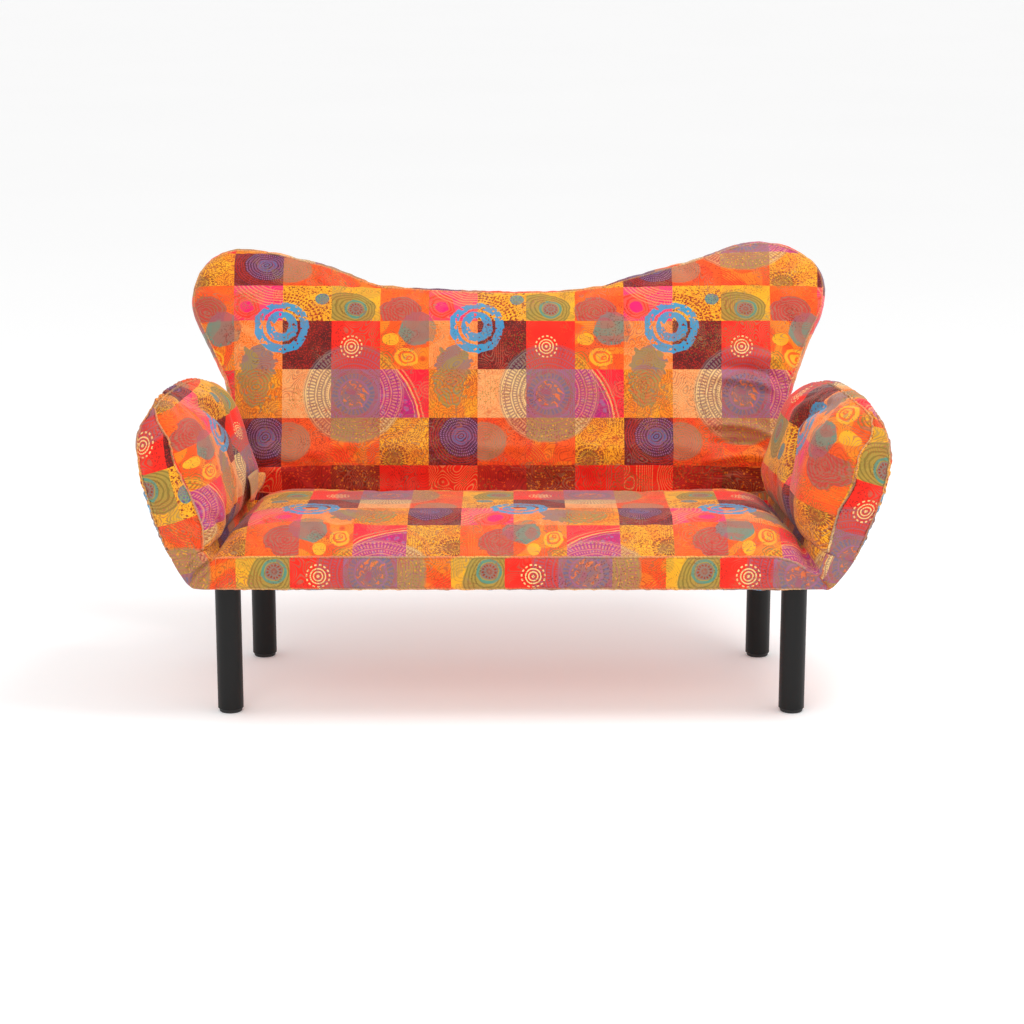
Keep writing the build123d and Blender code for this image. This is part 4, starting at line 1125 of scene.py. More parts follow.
# %% [markdown]
# A colour ramp with sixteen steps works as the table that gives each patch its dye; its alpha says how
# strongly the patch takes it. With that, one line lays an ornament on just the patches that it belongs to.
# The other helpers draw a wheel, a hoop of it, or the place where several masks meet.

# %% Layers of the print


def lookup(table):
    """A table from patch names to dye names, or to a dye and a strength, as one colour ramp."""
    ramp = b.node("ShaderNodeValToRGB")
    ramp.color_ramp.interpolation = "CONSTANT"
    steps = ramp.color_ramp.elements
    while len(steps) < len(PATCH_NAMES):
        steps.new(0.5)
    for number, name in enumerate(PATCH_NAMES):
        entry = table.get(name, ("cream", 0.0))
        colour, strength = (entry, 1.0) if isinstance(entry, str) else entry
        steps[number].position = max(0.0, (number - 0.3) / len(PATCH_NAMES))
        steps[number].color = dyes[colour][:3] + (strength,)
    b.feed(ramp.inputs[0], index)
    return ramp.outputs["Color"], ramp.outputs["Alpha"]


def layer(colour, mask, table):
    """Lays a masked ornament on the patches that the table names."""
    dyed, strength = lookup(table)
    return b.blend(b.math("MULTIPLY", mask, strength), colour, dyed)


def lay(colour, mask, name, strength=1.0):
    """Lays one dye over whatever is there."""
    if strength != 1.0:
        mask = b.math("MULTIPLY", mask, strength)
    return b.blend(mask, colour, dyes[name])


def wheel(across, down, radius, rings=4.0, teeth=16.0, wobble=0.0, pull=0.0, turn=0.0):
    return b.group(rosette, Point=block, Across=across, Down=down, Radius=radius, Rings=rings, Teeth=teeth,
                   Wobble=wobble, Pull=pull, Turn=turn)


def hoop(made, centre, width, soft=0.03):
    """A ring of a wheel, at a share of its radius and half as wide as given on each side."""
    off = b.math("ABSOLUTE", b.math("SUBTRACT", made["Distance"], centre))
    return b.between(off, width + soft, width)


def both(*masks):
    """Where all the masks meet."""
    joined = masks[0]
    for mask in masks[1:]:
        joined = b.math("MULTIPLY", joined, mask)
    return joined


print("layers can be laid")

# %% [markdown]
# The grounds come first, then broad and thin contour lines and two sizes of specks. Together they give every
# patch a drawn look of its own, also where no large figure lies.

# %% Grounds, lines and specks
colour, _ = lookup(ground)
broad = b.group(contours, Point=point, Scale=1.4, Lines=3.0, Share=0.42)
thin = b.group(contours, Point=point, Scale=1.9, Lines=22.0, Share=0.30)
fine = b.group(specks, Point=point, Scale=15.0, Size=0.30)["Specks"]
tiny = b.group(specks, Point=point, Scale=34.0, Size=0.36)["Specks"]
colour = layer(colour, broad["Lines"], dict(
    paisley=("moss", 0.35), dusk=("vermilion", 0.35), swirl=("coral", 0.55), wave=("amber", 0.75),
    apricot=("peach", 0.3), wheel=("rose", 0.45), meadow=("mustard", 0.6), ember=("vermilion", 0.35),
    grove=("amber", 0.55), scribble=("amber", 0.6), stipple=("wine", 0.4), spiral=("wine", 0.4)))
colour = layer(colour, thin["Lines"], dict(
    paisley=("olive", 0.3), dusk=("amber", 0.3), swirl=("peach", 0.35), wave=("rust", 0.3),
    apricot=("peach", 0.4), lace=("rust", 0.2), wheel=("lilac", 0.45), garden=("coral", 0.35),
    meadow=("rust", 0.4), ember=("rust", 0.35), grove=("rust", 0.45), scribble=("rust", 0.45),
    spiral=("brick", 0.3)))
colour = layer(colour, fine, dict(
    dotted=("wine", 0.9), meadow=("olive", 0.3), ember=("rust", 0.4), scribble=("wine", 0.55),
    grove=("rust", 0.3)))
colour = layer(colour, tiny, dict(
    dotted=("rust", 0.75), stipple=("vermilion", 0.5), lace=("tangerine", 0.5), meadow=("rust", 0.35),
    scribble=("rust", 0.75), ember=("wine", 0.25), spiral=("lilac", 0.35), wheel=("cloud", 0.4),
    dusk=("amber", 0.25), apricot=("cream", 0.25)))
print("grounds and lines:", len(patchwork.nodes), "nodes")

# %% [markdown]
# Soft discs and clouds lie over several patches, in greyer dyes. Each is a wheel of the rosette group with a
# strong wobble, filled, ringed or crossed by the contour lines.

# %% Soft discs and clouds
blush = wheel(2.42, 0.78, 0.44, rings=6.0, teeth=40.0, wobble=0.2)
colour = layer(colour, blush["Disc"], dict(dusk=("rose", 0.85), paisley=("rose", 0.35)))
colour = layer(colour, blush["Rings"], dict(dusk=("cloud", 0.55), paisley=("cloud", 0.4)))
colour = layer(colour, both(blush["Disc"], thin["Lines"]), dict(dusk=("brick", 0.5)))
grey = wheel(2.76, 1.16, 0.38, rings=3.0, teeth=9.0, wobble=0.2)
colour = layer(colour, grey["Disc"], dict(
    dusk=("mauve", 0.75), swirl=("mauve", 0.5), wave=("ash", 0.85), apricot=("cloud", 0.6)))
colour = layer(colour, both(hoop(grey, 0.86, 0.08), thin["Lines"]), dict(
    wave=("teal", 0.9), apricot=("teal", 0.6)))
colour = layer(colour, both(grey["Disc"], broad["Lines"]), dict(
    wave=("teal", 0.45), dusk=("teal", 0.4), apricot=("orange", 0.5)))
cloud = wheel(3.49, 1.86, 0.36, rings=3.0, teeth=9.0, wobble=0.55)
colour = layer(colour, cloud["Disc"], dict(apricot=("ash", 0.8), meadow=("ash", 0.6)))
colour = layer(colour, both(cloud["Disc"], broad["Lines"]), dict(apricot=("moss", 0.7), meadow=("moss", 0.7)))
colour = layer(colour, both(cloud["Disc"], thin["Lines"]), dict(apricot=("blue", 0.4), meadow=("teal", 0.5)))
plume = wheel(3.46, 2.32, 0.34, rings=3.5, teeth=11.0, wobble=0.7, pull=0.4, turn=1.6)
colour = layer(colour, plume["Disc"], dict(meadow=("moss", 0.8)))
colour = layer(colour, plume["Rings"], dict(meadow=("orange", 0.6)))
colour = layer(colour, both(plume["Disc"], thin["Lines"]), dict(meadow=("teal", 0.55)))
colour = layer(colour, wheel(3.46, 2.32, 0.62, rings=9.0)["Rings"], dict(meadow=("rust", 0.22)))
moon = wheel(0.18, 3.50, 0.42, rings=9.0, teeth=40.0, wobble=0.1)
colour = layer(colour, moon["Disc"], dict(ember=("cloud", 0.75), spiral=("indigo", 0.5)))
colour = layer(colour, moon["Rings"], dict(ember=("orange", 0.45), spiral=("ash", 0.4)))
print("discs and clouds:", len(patchwork.nodes), "nodes")

# %% [markdown]
# Paisley drops, shells and scrolls are wheels that are pulled out to a point on one side.

# %% Paisley drops
drop = wheel(1.52, 0.72, 0.40, rings=7.0, teeth=40.0, wobble=0.08, pull=0.8, turn=3.5)
colour = layer(colour, drop["Disc"], dict(paisley=("moss", 0.85)))
colour = layer(colour, drop["Rings"], dict(paisley=("olive", 0.8)))
eye = wheel(1.50, 0.71, 0.24, rings=3.0, teeth=13.0, wobble=0.05)
colour = layer(colour, hoop(eye, 0.88, 0.10), dict(paisley=("teal", 0.85)))
colour = layer(colour, b.between(eye["Distance"], 0.72, 0.66), dict(paisley=("ash", 0.95)))
colour = layer(colour, both(eye["Dots"], b.between(eye["Distance"], 0.70, 0.66)), dict(
    paisley=("rust", 0.85)))
shell = wheel(3.27, 0.70, 0.26, rings=4.0, teeth=30.0, wobble=0.10, pull=0.9, turn=4.4)
colour = layer(colour, shell["Disc"], dict(swirl=("coral", 0.85)))
colour = layer(colour, shell["Rings"], dict(swirl=("vermilion", 0.75)))
colour = layer(colour, both(shell["Disc"], b.between(shell["Distance"], 0.46, 0.40)), dict(swirl="pink"))
fan = wheel(3.95, -0.35, 1.05, rings=13.0, teeth=60.0, wobble=0.04)
colour = layer(colour, both(fan["Rings"], b.between(fan["Distance"], 0.45, 0.5)), dict(swirl=("peach", 0.6)))
lens = wheel(2.14, 1.38, 0.10, pull=1.5, rings=1.0)
colour = layer(colour, lens["Disc"], dict(wave=("mustard", 0.95)))
scroll = wheel(2.60, 1.76, 0.17, rings=2.4, teeth=14.0, wobble=0.12, pull=0.9, turn=3.3)
colour = layer(colour, scroll["Disc"], dict(wave=("mustard", 0.95)))
colour = layer(colour, scroll["Rings"], dict(wave=("orange", 0.9)))
colour = layer(colour, wheel(2.12, 1.80, 0.17, rings=3.0, wobble=0.3)["Rings"], dict(wave=("olive", 0.85)))
bead = wheel(0.81, 0.47, 0.14, rings=3.0, teeth=9.0, wobble=0.06, pull=0.5, turn=-1.6)
colour = layer(colour, bead["Disc"], dict(dotted=("teal", 0.85)))
colour = layer(colour, bead["Dots"], dict(dotted=("blue", 0.9)))
halo = wheel(0.0, 1.10, 0.86, rings=9.0, teeth=64.0)
colour = layer(colour, both(halo["Dots"], b.between(halo["Distance"], 0.70, 0.72)), dict(
    dotted=("rust", 0.9)))
print("paisley drops:", len(patchwork.nodes), "nodes")

# %% [markdown]
# A flower bed with its ribbon, a striped corner, a sprout and a dark spiral. They are parts of large wheels,
# of which only one patch each is seen, so each is masked by its patch and by the distance from its centre.

# %% Flower bed and spiral
ribbon = wheel(1.00, 3.22, 1.94, rings=22.0, wobble=0.10)
inside = b.between(ribbon["Distance"], 0.93, 0.90)
colour = layer(colour, inside, dict(garden=("purple", 0.70)))
petals = b.group(specks, Point=point, Scale=6.5, Size=0.30)["Specks"]
colour = layer(colour, both(petals, inside), dict(garden=("lilac", 0.80)))
colour = layer(colour, both(fine, inside), dict(garden=("pink", 0.6)))
colour = layer(colour, both(hoop(ribbon, 0.95, 0.055, 0.01), ribbon["Rings"]), dict(garden=("peach", 0.95)))
bud = wheel(2.95, 2.42, 0.20, rings=3.0, teeth=12.0, wobble=0.15)
colour = layer(colour, bud["Rings"], dict(garden=("coral", 0.95)))
blaze = wheel(0.35, 4.60, 1.35, rings=26.0, wobble=0.05)
colour = layer(colour, both(blaze["Rings"], b.between(blaze["Distance"], 0.66, 0.68)), dict(
    grove=("vermilion", 0.85)))
sprout = wheel(2.27, 3.90, 0.22, rings=3.0, teeth=30.0, wobble=0.05)
colour = layer(colour, sprout["Teeth"], dict(scribble=("olive", 0.9), dusk=("olive", 0.4)))
colour = layer(colour, wheel(2.27, 3.90, 0.34, rings=4.0, teeth=26.0)["Dots"], dict(scribble=("wine", 0.7)))
coil = wheel(3.66, 3.40, 0.66, rings=12.0, teeth=58.0, wobble=0.06)
core = b.between(coil["Distance"], 0.70, 0.62)
colour = layer(colour, core, dict(spiral=("indigo", 0.75)))
colour = layer(colour, both(coil["Rings"], b.between(coil["Distance"], 0.68, 0.72)), dict(
    spiral=("brick", 0.75)))
colour = layer(colour, both(coil["Dots"], core), dict(spiral=("lilac", 0.95)))
colour = layer(colour, wheel(3.66, 3.40, 0.20, rings=3.0, teeth=14.0, wobble=0.1)["Rings"], dict(
    spiral=("blue", 0.8)))
print("flower bed and spiral:", len(patchwork.nodes), "nodes")

# %% [markdown]
# The great wheel over the middle of the block is the print's main figure. A veil of greyer dyes comes first,
# patch by patch, then bands of lines, ladders and dots on it, and a flower in the middle.

# %% The great wheel
great = wheel(1.46, 2.51, 1.04, rings=16.0, teeth=84.0, wobble=0.03)
veil = both(great["Disc"], b.between(great["Distance"], 0.44, 0.47))
colour = layer(colour, veil, dict(
    stipple=("indigo", 0.70), sun=("rose", 0.60), wave=("olive", 0.35), lace=("ash", 0.72),
    wheel=("mauve", 0.50), garden=("lilac", 0.30), ember=("ash", 0.62), grove=("cloud", 0.70),
    scribble=("cloud", 0.60), meadow=("olive", 0.3)))
colour = layer(colour, both(veil, fine), dict(
    grove=("mustard", 0.7), scribble=("mustard", 0.6), ember=("rust", 0.6), wave=("mustard", 0.5)))
colour = layer(colour, both(veil, thin["Lines"]), dict(
    grove=("mauve", 0.7), scribble=("mauve", 0.5), ember=("brick", 0.5), garden=("purple", 0.5),
    wheel=("teal", 0.4)))
bands = [hoop(great, place, 0.008, 0.012) for place in (0.985, 0.94, 0.74, 0.60, 0.50)]
for place, width in ((0.82, 0.035), (0.67, 0.018)):
    bands.append(both(hoop(great, place, width, 0.02), great["Teeth"]))
for place in (0.89, 0.55):
    bands.append(both(hoop(great, place, 0.03, 0.01), great["Dots"]))
lines = bands[0]
for band in bands[1:]:
    lines = b.math("MAXIMUM", lines, band)
colour = layer(colour, both(lines, veil), dict(
    stipple=("ash", 0.9), sun=("mauve", 0.8), wave=("mustard", 0.6), lace=("cream", 0.85),
    wheel=("lilac", 0.6), garden=("peach", 0.5), ember=("peach", 0.55), grove=("moss", 0.7),
    scribble=("cream", 0.5), meadow=("cream", 0.3)))
flower = wheel(1.46, 2.51, 0.45, rings=3.0, teeth=30.0, wobble=0.10)
colour = lay(colour, flower["Disc"], "ash", 0.55)
colour = lay(colour, both(flower["Teeth"], hoop(flower, 0.84, 0.10)), "blue", 0.60)
colour = lay(colour, hoop(flower, 0.66, 0.03), "lilac", 0.7)
heart = wheel(1.46, 2.51, 0.26, rings=2.0, teeth=9.0, wobble=0.45)
colour = lay(colour, both(heart["Disc"], thin["Lines"]), "blue", 0.6)
colour = lay(colour, both(hoop(heart, 0.86, 0.09), heart["Teeth"]), "tangerine", 0.7)
colour = lay(colour, both(hoop(heart, 0.55, 0.08), thin["Lines"]), "tangerine", 0.5)
colour = lay(colour, b.between(heart["Distance"], 0.34, 0.28), "mauve", 0.9)
print("great wheel:", len(patchwork.nodes), "nodes")

# %% [markdown]
# The two clearest figures of the print: the cream sun, which is two hoops, a dot and a ring of beads, and the
# blue wheels, whose paint has gaps. Then the darker reds and browns painted as shade on the back's lowest
# row, which the group knows by its place far down the map.

# %% Sun, blue wheels and lowest row
sun = wheel(1.41, 1.53, 0.238, rings=1.0, teeth=15.0)
for place, width in ((0.60, 0.036), (0.36, 0.036), (0.0, 0.11)):
    colour = lay(colour, hoop(sun, place, width), "cream")
colour = lay(colour, both(sun["Teeth"], hoop(sun, 0.91, 0.050)), "cream")
cyan = wheel(-0.02, 1.11, 0.55, rings=1.0, teeth=13.0, wobble=0.10)
gaps = b.between(b.noise(block, 8.0, detail=1.0, roughness=0.7), 0.62, 0.58)
for place, width in ((0.86, 0.14), (0.43, 0.14)):
    colour = lay(colour, both(hoop(cyan, place, width), gaps), "sky", 0.95)

# Painted shade: the back's lowest row, moved far up the map, is redrawn in darker reds and browns.
painted_shade_row_mask = b.between(parts.outputs[1], PAINTED_SHADE_SHIFT / 2, PAINTED_SHADE_SHIFT / 2 + 1)
colour = layer(colour, painted_shade_row_mask, dict(swirl="vermilion", dotted="brick", paisley="rust", dusk="vermilion"))
colour = layer(colour, both(painted_shade_row_mask, thin["Lines"]), dict(
    swirl=("peach", 0.6), paisley=("maroon", 0.7), dotted=("maroon", 0.4), dusk=("brick", 0.5)))
colour = layer(colour, both(painted_shade_row_mask, fine), dict(dotted=("orange", 0.6), paisley=("amber", 0.6)))
print("sun, blue wheels and lowest row:", len(patchwork.nodes), "nodes")

# %% [markdown]
# Last come a fine scribble and stipple of grey and dark dyes over the whole print, as if stamped on it, and
# uneven dyeing. A gamma makes the print deeper than the plain dyes. The thin lines and the smallest specks
# also make a relief output, which the cloth's material doesn't use.

# %% Stamped lines and uneven dyeing
PRINT_GAMMA = 1.26
uneven = b.noise(point, 2.6, detail=3.0)
stamped = b.group(contours, Point=point, Scale=2.7, Lines=17.0, Share=0.34)["Lines"]
colour = lay(colour, both(stamped, b.between(b.noise(point, 1.3), 0.46, 0.60)), "cloud", 0.50)
colour = lay(colour, both(stamped, b.between(b.noise(point, 1.7), 0.54, 0.42)), "brick", 0.30)
stippled = b.group(specks, Point=point, Scale=24.0, Size=0.34)["Specks"]
colour = lay(colour, both(stippled, b.between(b.noise(point, 1.1), 0.50, 0.60)), "olive", 0.55)
colour = lay(colour, both(stippled, b.between(b.noise(point, 1.1), 0.47, 0.38)), "maroon", 0.40)
colour = b.blend(b.math("MULTIPLY", b.between(uneven, 0.35, 0.75), 0.10), colour, dyes["orange"])
deeper = b.node("ShaderNodeGamma")
b.feed(deeper.inputs[0], colour)
deeper.inputs[1].default_value = PRINT_GAMMA
b.feed(out["Color"], deeper.outputs[0])
b.feed(out["Relief"], b.math("ADD", thin["Lines"], tiny))
print("patchwork group:", len(patchwork.nodes), "nodes")

# %% [markdown]
# The weave is a fine grid of threads, less than a millimetre apart. It only shows as a soft tooth in the
# light, so it goes into the bump and slightly into the roughness. The cloth has a faint sheen.

# %% Weave group
weave, b, given, out = effect(
    "weave", [("Point", "Vector", None), ("Threads", "Float", 1800.0)],
    [("Height", "Float"), ("Slub", "Float")])
parts = b.node("ShaderNodeSeparateXYZ")
b.feed(parts.inputs[0], given["Point"])
waves = [b.math("SINE", b.math("MULTIPLY", parts.outputs[k], given["Threads"])) for k in (0, 1)]
b.feed(out["Height"], b.math("MULTIPLY_ADD", b.math("MULTIPLY", *waves), 0.5, 0.5))
b.feed(out["Slub"], b.noise(given["Point"], 60.0, detail=3.0))
print("weave group:", len(weave.nodes), "nodes")

# %% [markdown]
# The cloth's material puts the print and the weave together on the piece's own UV map. A second copy is mixed
# a little towards cream: on the seam cords that is a painted highlight along the ridge, on the tongue the
# paler wrong side of the cloth.

# %% Cloth
THREADS_PER_PATCH = 150


def material(name, **settings):
    """A new material: its bench, its shader and its settings."""
    made = bpy.data.materials.new(name)
    made.use_nodes = True
    shader = made.node_tree.nodes["Principled BSDF"]
    for socket, value in settings.items():
        shader.inputs[socket.replace("_", " ")].default_value = value
    return made, Bench(made.node_tree), shader


def cloth_material(name, lighter=0.0):
    """The printed cloth. lighter mixes it towards cream: a painted highlight on the seam cords, the paler
    wrong side on the tongue.
    """
    made, b, shader = material(name, Sheen_Weight=0.18, Sheen_Roughness=0.5, Specular_IOR_Level=0.22)
    at = b.node("ShaderNodeUVMap", uv_map="Cloth").outputs[0]
    drawn = b.group(patchwork, Cloth=at)
    thread = b.group(weave, Point=at, Threads=2 * math.pi * THREADS_PER_PATCH)
    colour = drawn["Color"]
    if lighter:
        colour = b.blend(lighter, colour, dyes["cream"])
    slubs = b.math("MULTIPLY", thread["Slub"], 0.12)
    b.feed(shader.inputs["Base Color"], b.blend(slubs, colour, dyes["rust"]))
    b.feed(shader.inputs["Roughness"], b.between(thread["Slub"], -0.6, 1.4))
    bump = b.node("ShaderNodeBump")
    bump.inputs["Strength"].default_value = 0.25
    bump.inputs["Distance"].default_value = 0.0008
    b.feed(bump.inputs["Height"], b.math("ADD", thread["Height"], b.math("MULTIPLY", thread["Slub"], 2.0)))
    b.feed(shader.inputs["Normal"], bump.outputs[0])
    return made


patchwork_cloth = cloth_material("patchwork_cloth")
# Mixed a fifth of the way to cream: a painted highlight on the seam cords, the paler wrong side on the
# tongue.
pale_side_and_seam_highlight_cloth = cloth_material("pale_side_and_seam_highlight_cloth", lighter=0.20)
for obj in cushions + [piece for _, piece in gussets.values()]:
    obj.data.materials.clear()
    obj.data.materials.append(patchwork_cloth)
print("cloth ready")

# %% [markdown]
# The steel, wood and plastic below the cloth share one grain effect: a noise that can be drawn out along one
# axis, for the streaks of brushed metal or wood, or left round, for powder coating, foam and moulded plastic.

# %% Grain group
grain, b, given, out = effect(
    "grain", [("Point", "Vector", None), ("Scale", "Float", 60.0), ("Stretch", "Vector", None)],
    [("Height", "Float"), ("Mottle", "Float")])
stretched = b.node("ShaderNodeVectorMath", operation="MULTIPLY")
b.feed(stretched.inputs[0], given["Point"])
b.feed(stretched.inputs[1], given["Stretch"])
sized = b.node("ShaderNodeVectorMath", operation="SCALE")
b.feed(sized.inputs[0], stretched.outputs[0])
b.feed(sized.inputs["Scale"], given["Scale"])
b.feed(out["Height"], b.noise(sized.outputs[0], 6.0, detail=3.0))
b.feed(out["Mottle"], b.noise(sized.outputs[0], 1.0, detail=4.0, roughness=0.6))
print("grain group:", len(grain.nodes), "nodes")

# %% [markdown]
# Every finish of the frame is a mottle between two close colours and two roughnesses, with the grain as a
# faint relief. The elastic band is woven, so it takes the cloth's weave instead. Each node of the frame then
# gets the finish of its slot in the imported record.

# %% Frame finishes


def finish(name, dark, light, smooth_to, rough_to, scale, stretch=(1, 1, 1), depth=0.0002, **settings):
    """A finish that mottles between two colours and two roughnesses."""
    made, b, shader = material(name, **settings)
    at = b.node("ShaderNodeTexCoord").outputs["Object"]
    drawn = b.group(grain, Point=at, Scale=scale, Stretch=stretch)
    b.feed(shader.inputs["Base Color"], b.blend(drawn["Mottle"], dye(*dark), dye(*light)))
    rough = b.math("MULTIPLY_ADD", drawn["Mottle"], rough_to - smooth_to, smooth_to)
    b.feed(shader.inputs["Roughness"], rough)
    bump = b.node("ShaderNodeBump")
    bump.inputs["Strength"].default_value = 0.5
    bump.inputs["Distance"].default_value = depth
    b.feed(bump.inputs["Height"], drawn["Height"])
    b.feed(shader.inputs["Normal"], bump.outputs[0])
    return made


RIBS_PER_METRE = 700


def webbing_material():
    """Woven elastic band with fine ribs."""
    made, b, shader = material("woven_band", Sheen_Weight=0.1)
    at = b.node("ShaderNodeTexCoord").outputs["Object"]
    ribs = b.group(weave, Point=at, Threads=2 * math.pi * RIBS_PER_METRE)
    b.feed(shader.inputs["Base Color"], b.blend(ribs["Slub"], dye(38, 38, 42), dye(78, 76, 78)))
    b.feed(shader.inputs["Roughness"], b.between(ribs["Slub"], -0.8, 1.3))
    bump = b.node("ShaderNodeBump")
    bump.inputs["Distance"].default_value = 0.0006
    b.feed(bump.inputs["Height"], ribs["Height"])
    b.feed(shader.inputs["Normal"], bump.outputs[0])
    return made


finishes = {
    "patchwork_cloth": patchwork_cloth,
    "foam": finish("cream_foam", (214, 200, 164), (238, 228, 198), 0.85, 0.98, 90, depth=0.0006),
    "webbing": webbing_material(),
    "black_leg": finish("black_satin_wood", (8, 8, 8), (17, 16, 16), 0.36, 0.52, 30, (1, 1, 0.06),
                        Specular_IOR_Level=0.28),
    "glide_plastic": finish("moulded_plastic", (20, 20, 21), (32, 32, 33), 0.5, 0.66, 120),
    "frame_steel": finish("powder_coat", (34, 34, 37), (50, 50, 53), 0.42, 0.58, 160, Coat_Weight=0.15),
    "hinge_steel": finish("brushed_steel", (122, 122, 125), (158, 158, 160), 0.28, 0.46, 40, (1, 0.05, 1),
                          depth=0.00005, Metallic=1.0),
    "zinc_steel": finish("zinc_plating", (156, 156, 150), (198, 196, 184), 0.24, 0.42, 110, depth=0.00003,
                         Metallic=1.0),
    "spring_steel": finish("oiled_spring", (84, 84, 88), (112, 110, 110), 0.26, 0.44, 70, (0.2, 1, 1),
                           depth=0.00004, Metallic=1.0),
}
for row in frame["record"]["subparts"]:
    node = frame["nodes"][row["node"]]
    node.data.materials.clear()
    node.data.materials.append(finishes[row["material_slot"]])

# %% [markdown]
# The real seams were turned and overlocked, which leaves a small rough ridge of doubled cloth with thread
# wound round it. One Geometry Nodes tree makes it from a line: a ragged cord, and a loop of thread every few
# millimetres. The lines are laid on the finished cushions, and the cord takes the print from the cloth beside
# it, mixed a little lighter as a painted highlight along the ridge.

# %% Seam tree
SEAM_SOCKETS = (
    ("Line", "Geometry", None), ("Radius", "Float", 0.0022), ("Ragged", "Float", 0.0014),
    ("Pitch", "Float", 0.009), ("Thread radius", "Float", 0.00045), ("Seed", "Int", 7),
    ("Cloth", "Material", None), ("Thread", "Material", None),
)
seam_tree = bpy.data.node_groups.new("turned_seam", "GeometryNodeTree")
seam_tree.is_modifier = True
seam_inputs = {}
for label, kind, value in SEAM_SOCKETS:
    socket = seam_tree.interface.new_socket(label, in_out="INPUT", socket_type="NodeSocket" + kind)
    if value is not None:
        socket.default_value = value
    seam_inputs[label] = socket.identifier
seam_tree.interface.new_socket("Seam", in_out="OUTPUT", socket_type="NodeSocketGeometry")

g = Bench(seam_tree)
given = g.node("NodeGroupInput").outputs
run = g.node("GeometryNodeMeshToCurve")
g.feed(run.inputs["Mesh"], given["Line"])
even = g.node("GeometryNodeResampleCurve", mode="LENGTH")
g.feed(even.inputs["Curve"], run.outputs[0])
g.feed(even.inputs["Length"], 0.004)


def round_tube(line, radius, sides):
    """A tube round a line."""
    ring = g.node("GeometryNodeCurvePrimitiveCircle", mode="RADIUS")
    g.feed(ring.inputs["Resolution"], sides)
    g.feed(ring.inputs["Radius"], radius)
    tube = g.node("GeometryNodeCurveToMesh")
    g.feed(tube.inputs["Curve"], line)
    g.feed(tube.inputs["Profile Curve"], ring.outputs[0])
    g.feed(tube.inputs["Fill Caps"], True)
    return tube.outputs[0]


def dressed(geometry, material_socket):
    """Real, smooth geometry in one material."""
    real = g.node("GeometryNodeRealizeInstances")
    g.feed(real.inputs[0], geometry)
    smoothed = g.node("GeometryNodeSetShadeSmooth")
    g.feed(smoothed.inputs["Geometry"], real.outputs[0])
    dress = g.node("GeometryNodeSetMaterial")
    g.feed(dress.inputs["Geometry"], smoothed.outputs[0])
    g.feed(dress.inputs["Material"], material_socket)
    return dress.outputs[0]


print("seam tree started:", len(seam_inputs), "inputs")

# %% [markdown]
# The cord is a six-sided tube round the evenly cut line. A noise pulls its points about, which looks like the
# doubled, fraying edge of the cloth.

# %% Ragged cord
fray = g.node("ShaderNodeTexNoise", noise_dimensions="4D")
g.feed(fray.inputs["W"], given["Seed"])
g.feed(fray.inputs["Scale"], 110.0)
centred = g.node("ShaderNodeVectorMath", operation="SUBTRACT")
g.feed(centred.inputs[0], fray.outputs["Color"])
g.feed(centred.inputs[1], (0.5, 0.5, 0.5))
ragged = g.node("ShaderNodeVectorMath", operation="SCALE")
g.feed(ragged.inputs[0], centred.outputs[0])
g.feed(ragged.inputs["Scale"], given["Ragged"])
cord = g.node("GeometryNodeSetPosition")
g.feed(cord.inputs["Geometry"], round_tube(even.outputs[0], given["Radius"], 6))
g.feed(cord.inputs["Offset"], ragged.outputs[0])
print("cord:", len(seam_tree.nodes), "nodes")

# %% [markdown]
# The thread is a small ring at every stitch, tilted by a random angle. As all the loops are alike, they are
# instances on points along the line; the export needs them made real at the end.

# %% Wound thread
marks = g.node("GeometryNodeCurveToPoints", mode="LENGTH")
g.feed(marks.inputs["Curve"], run.outputs[0])
g.feed(marks.inputs["Length"], given["Pitch"])
loop = g.node("GeometryNodeCurvePrimitiveCircle", mode="RADIUS")
g.feed(loop.inputs["Resolution"], 8)
g.feed(loop.inputs["Radius"], g.math("ADD", given["Radius"], 0.0004))
tilt = g.node("FunctionNodeRandomValue", data_type="FLOAT")
g.feed(tilt.inputs[2], 0.45)
g.feed(tilt.inputs[3], 0.85)
g.feed(tilt.inputs["Seed"], given["Seed"])
turned = g.node("ShaderNodeCombineXYZ")
g.feed(turned.inputs[0], tilt.outputs[1])
spin = g.node("FunctionNodeEulerToRotation")
g.feed(spin.inputs[0], turned.outputs[0])
tilted = g.node("FunctionNodeRotateRotation", rotation_space="LOCAL")
g.feed(tilted.inputs[0], marks.outputs["Rotation"])
g.feed(tilted.inputs[1], spin.outputs[0])
wound = g.node("GeometryNodeInstanceOnPoints")
g.feed(wound.inputs["Points"], marks.outputs["Points"])
g.feed(wound.inputs["Instance"], round_tube(loop.outputs[0], given["Thread radius"], 4))
g.feed(wound.inputs["Rotation"], tilted.outputs[0])
joined = g.node("GeometryNodeJoinGeometry")
g.feed(joined.inputs[0], dressed(cord.outputs[0], given["Cloth"]))
g.feed(joined.inputs[0], dressed(wound.outputs[0], given["Thread"]))
g.feed(g.node("NodeGroupOutput").inputs[0], joined.outputs[0])
print("turned_seam:", len(seam_tree.nodes), "nodes")

# %% [markdown]
# A seam runs over the cushion as it is after puffing and puckering, so its line is first dropped on that
# surface. The tree's result is made a plain mesh, and each of its points takes the print from the nearest
# square of the cushion. The seams along the hinges stay out, because they lie inside the gussets.

# %% Lay the seams
thread_cotton = finish("cotton_thread", (150, 84, 44), (206, 140, 78), 0.7, 0.9, 400, (1, 1, 0.3),
                       depth=0.0003)


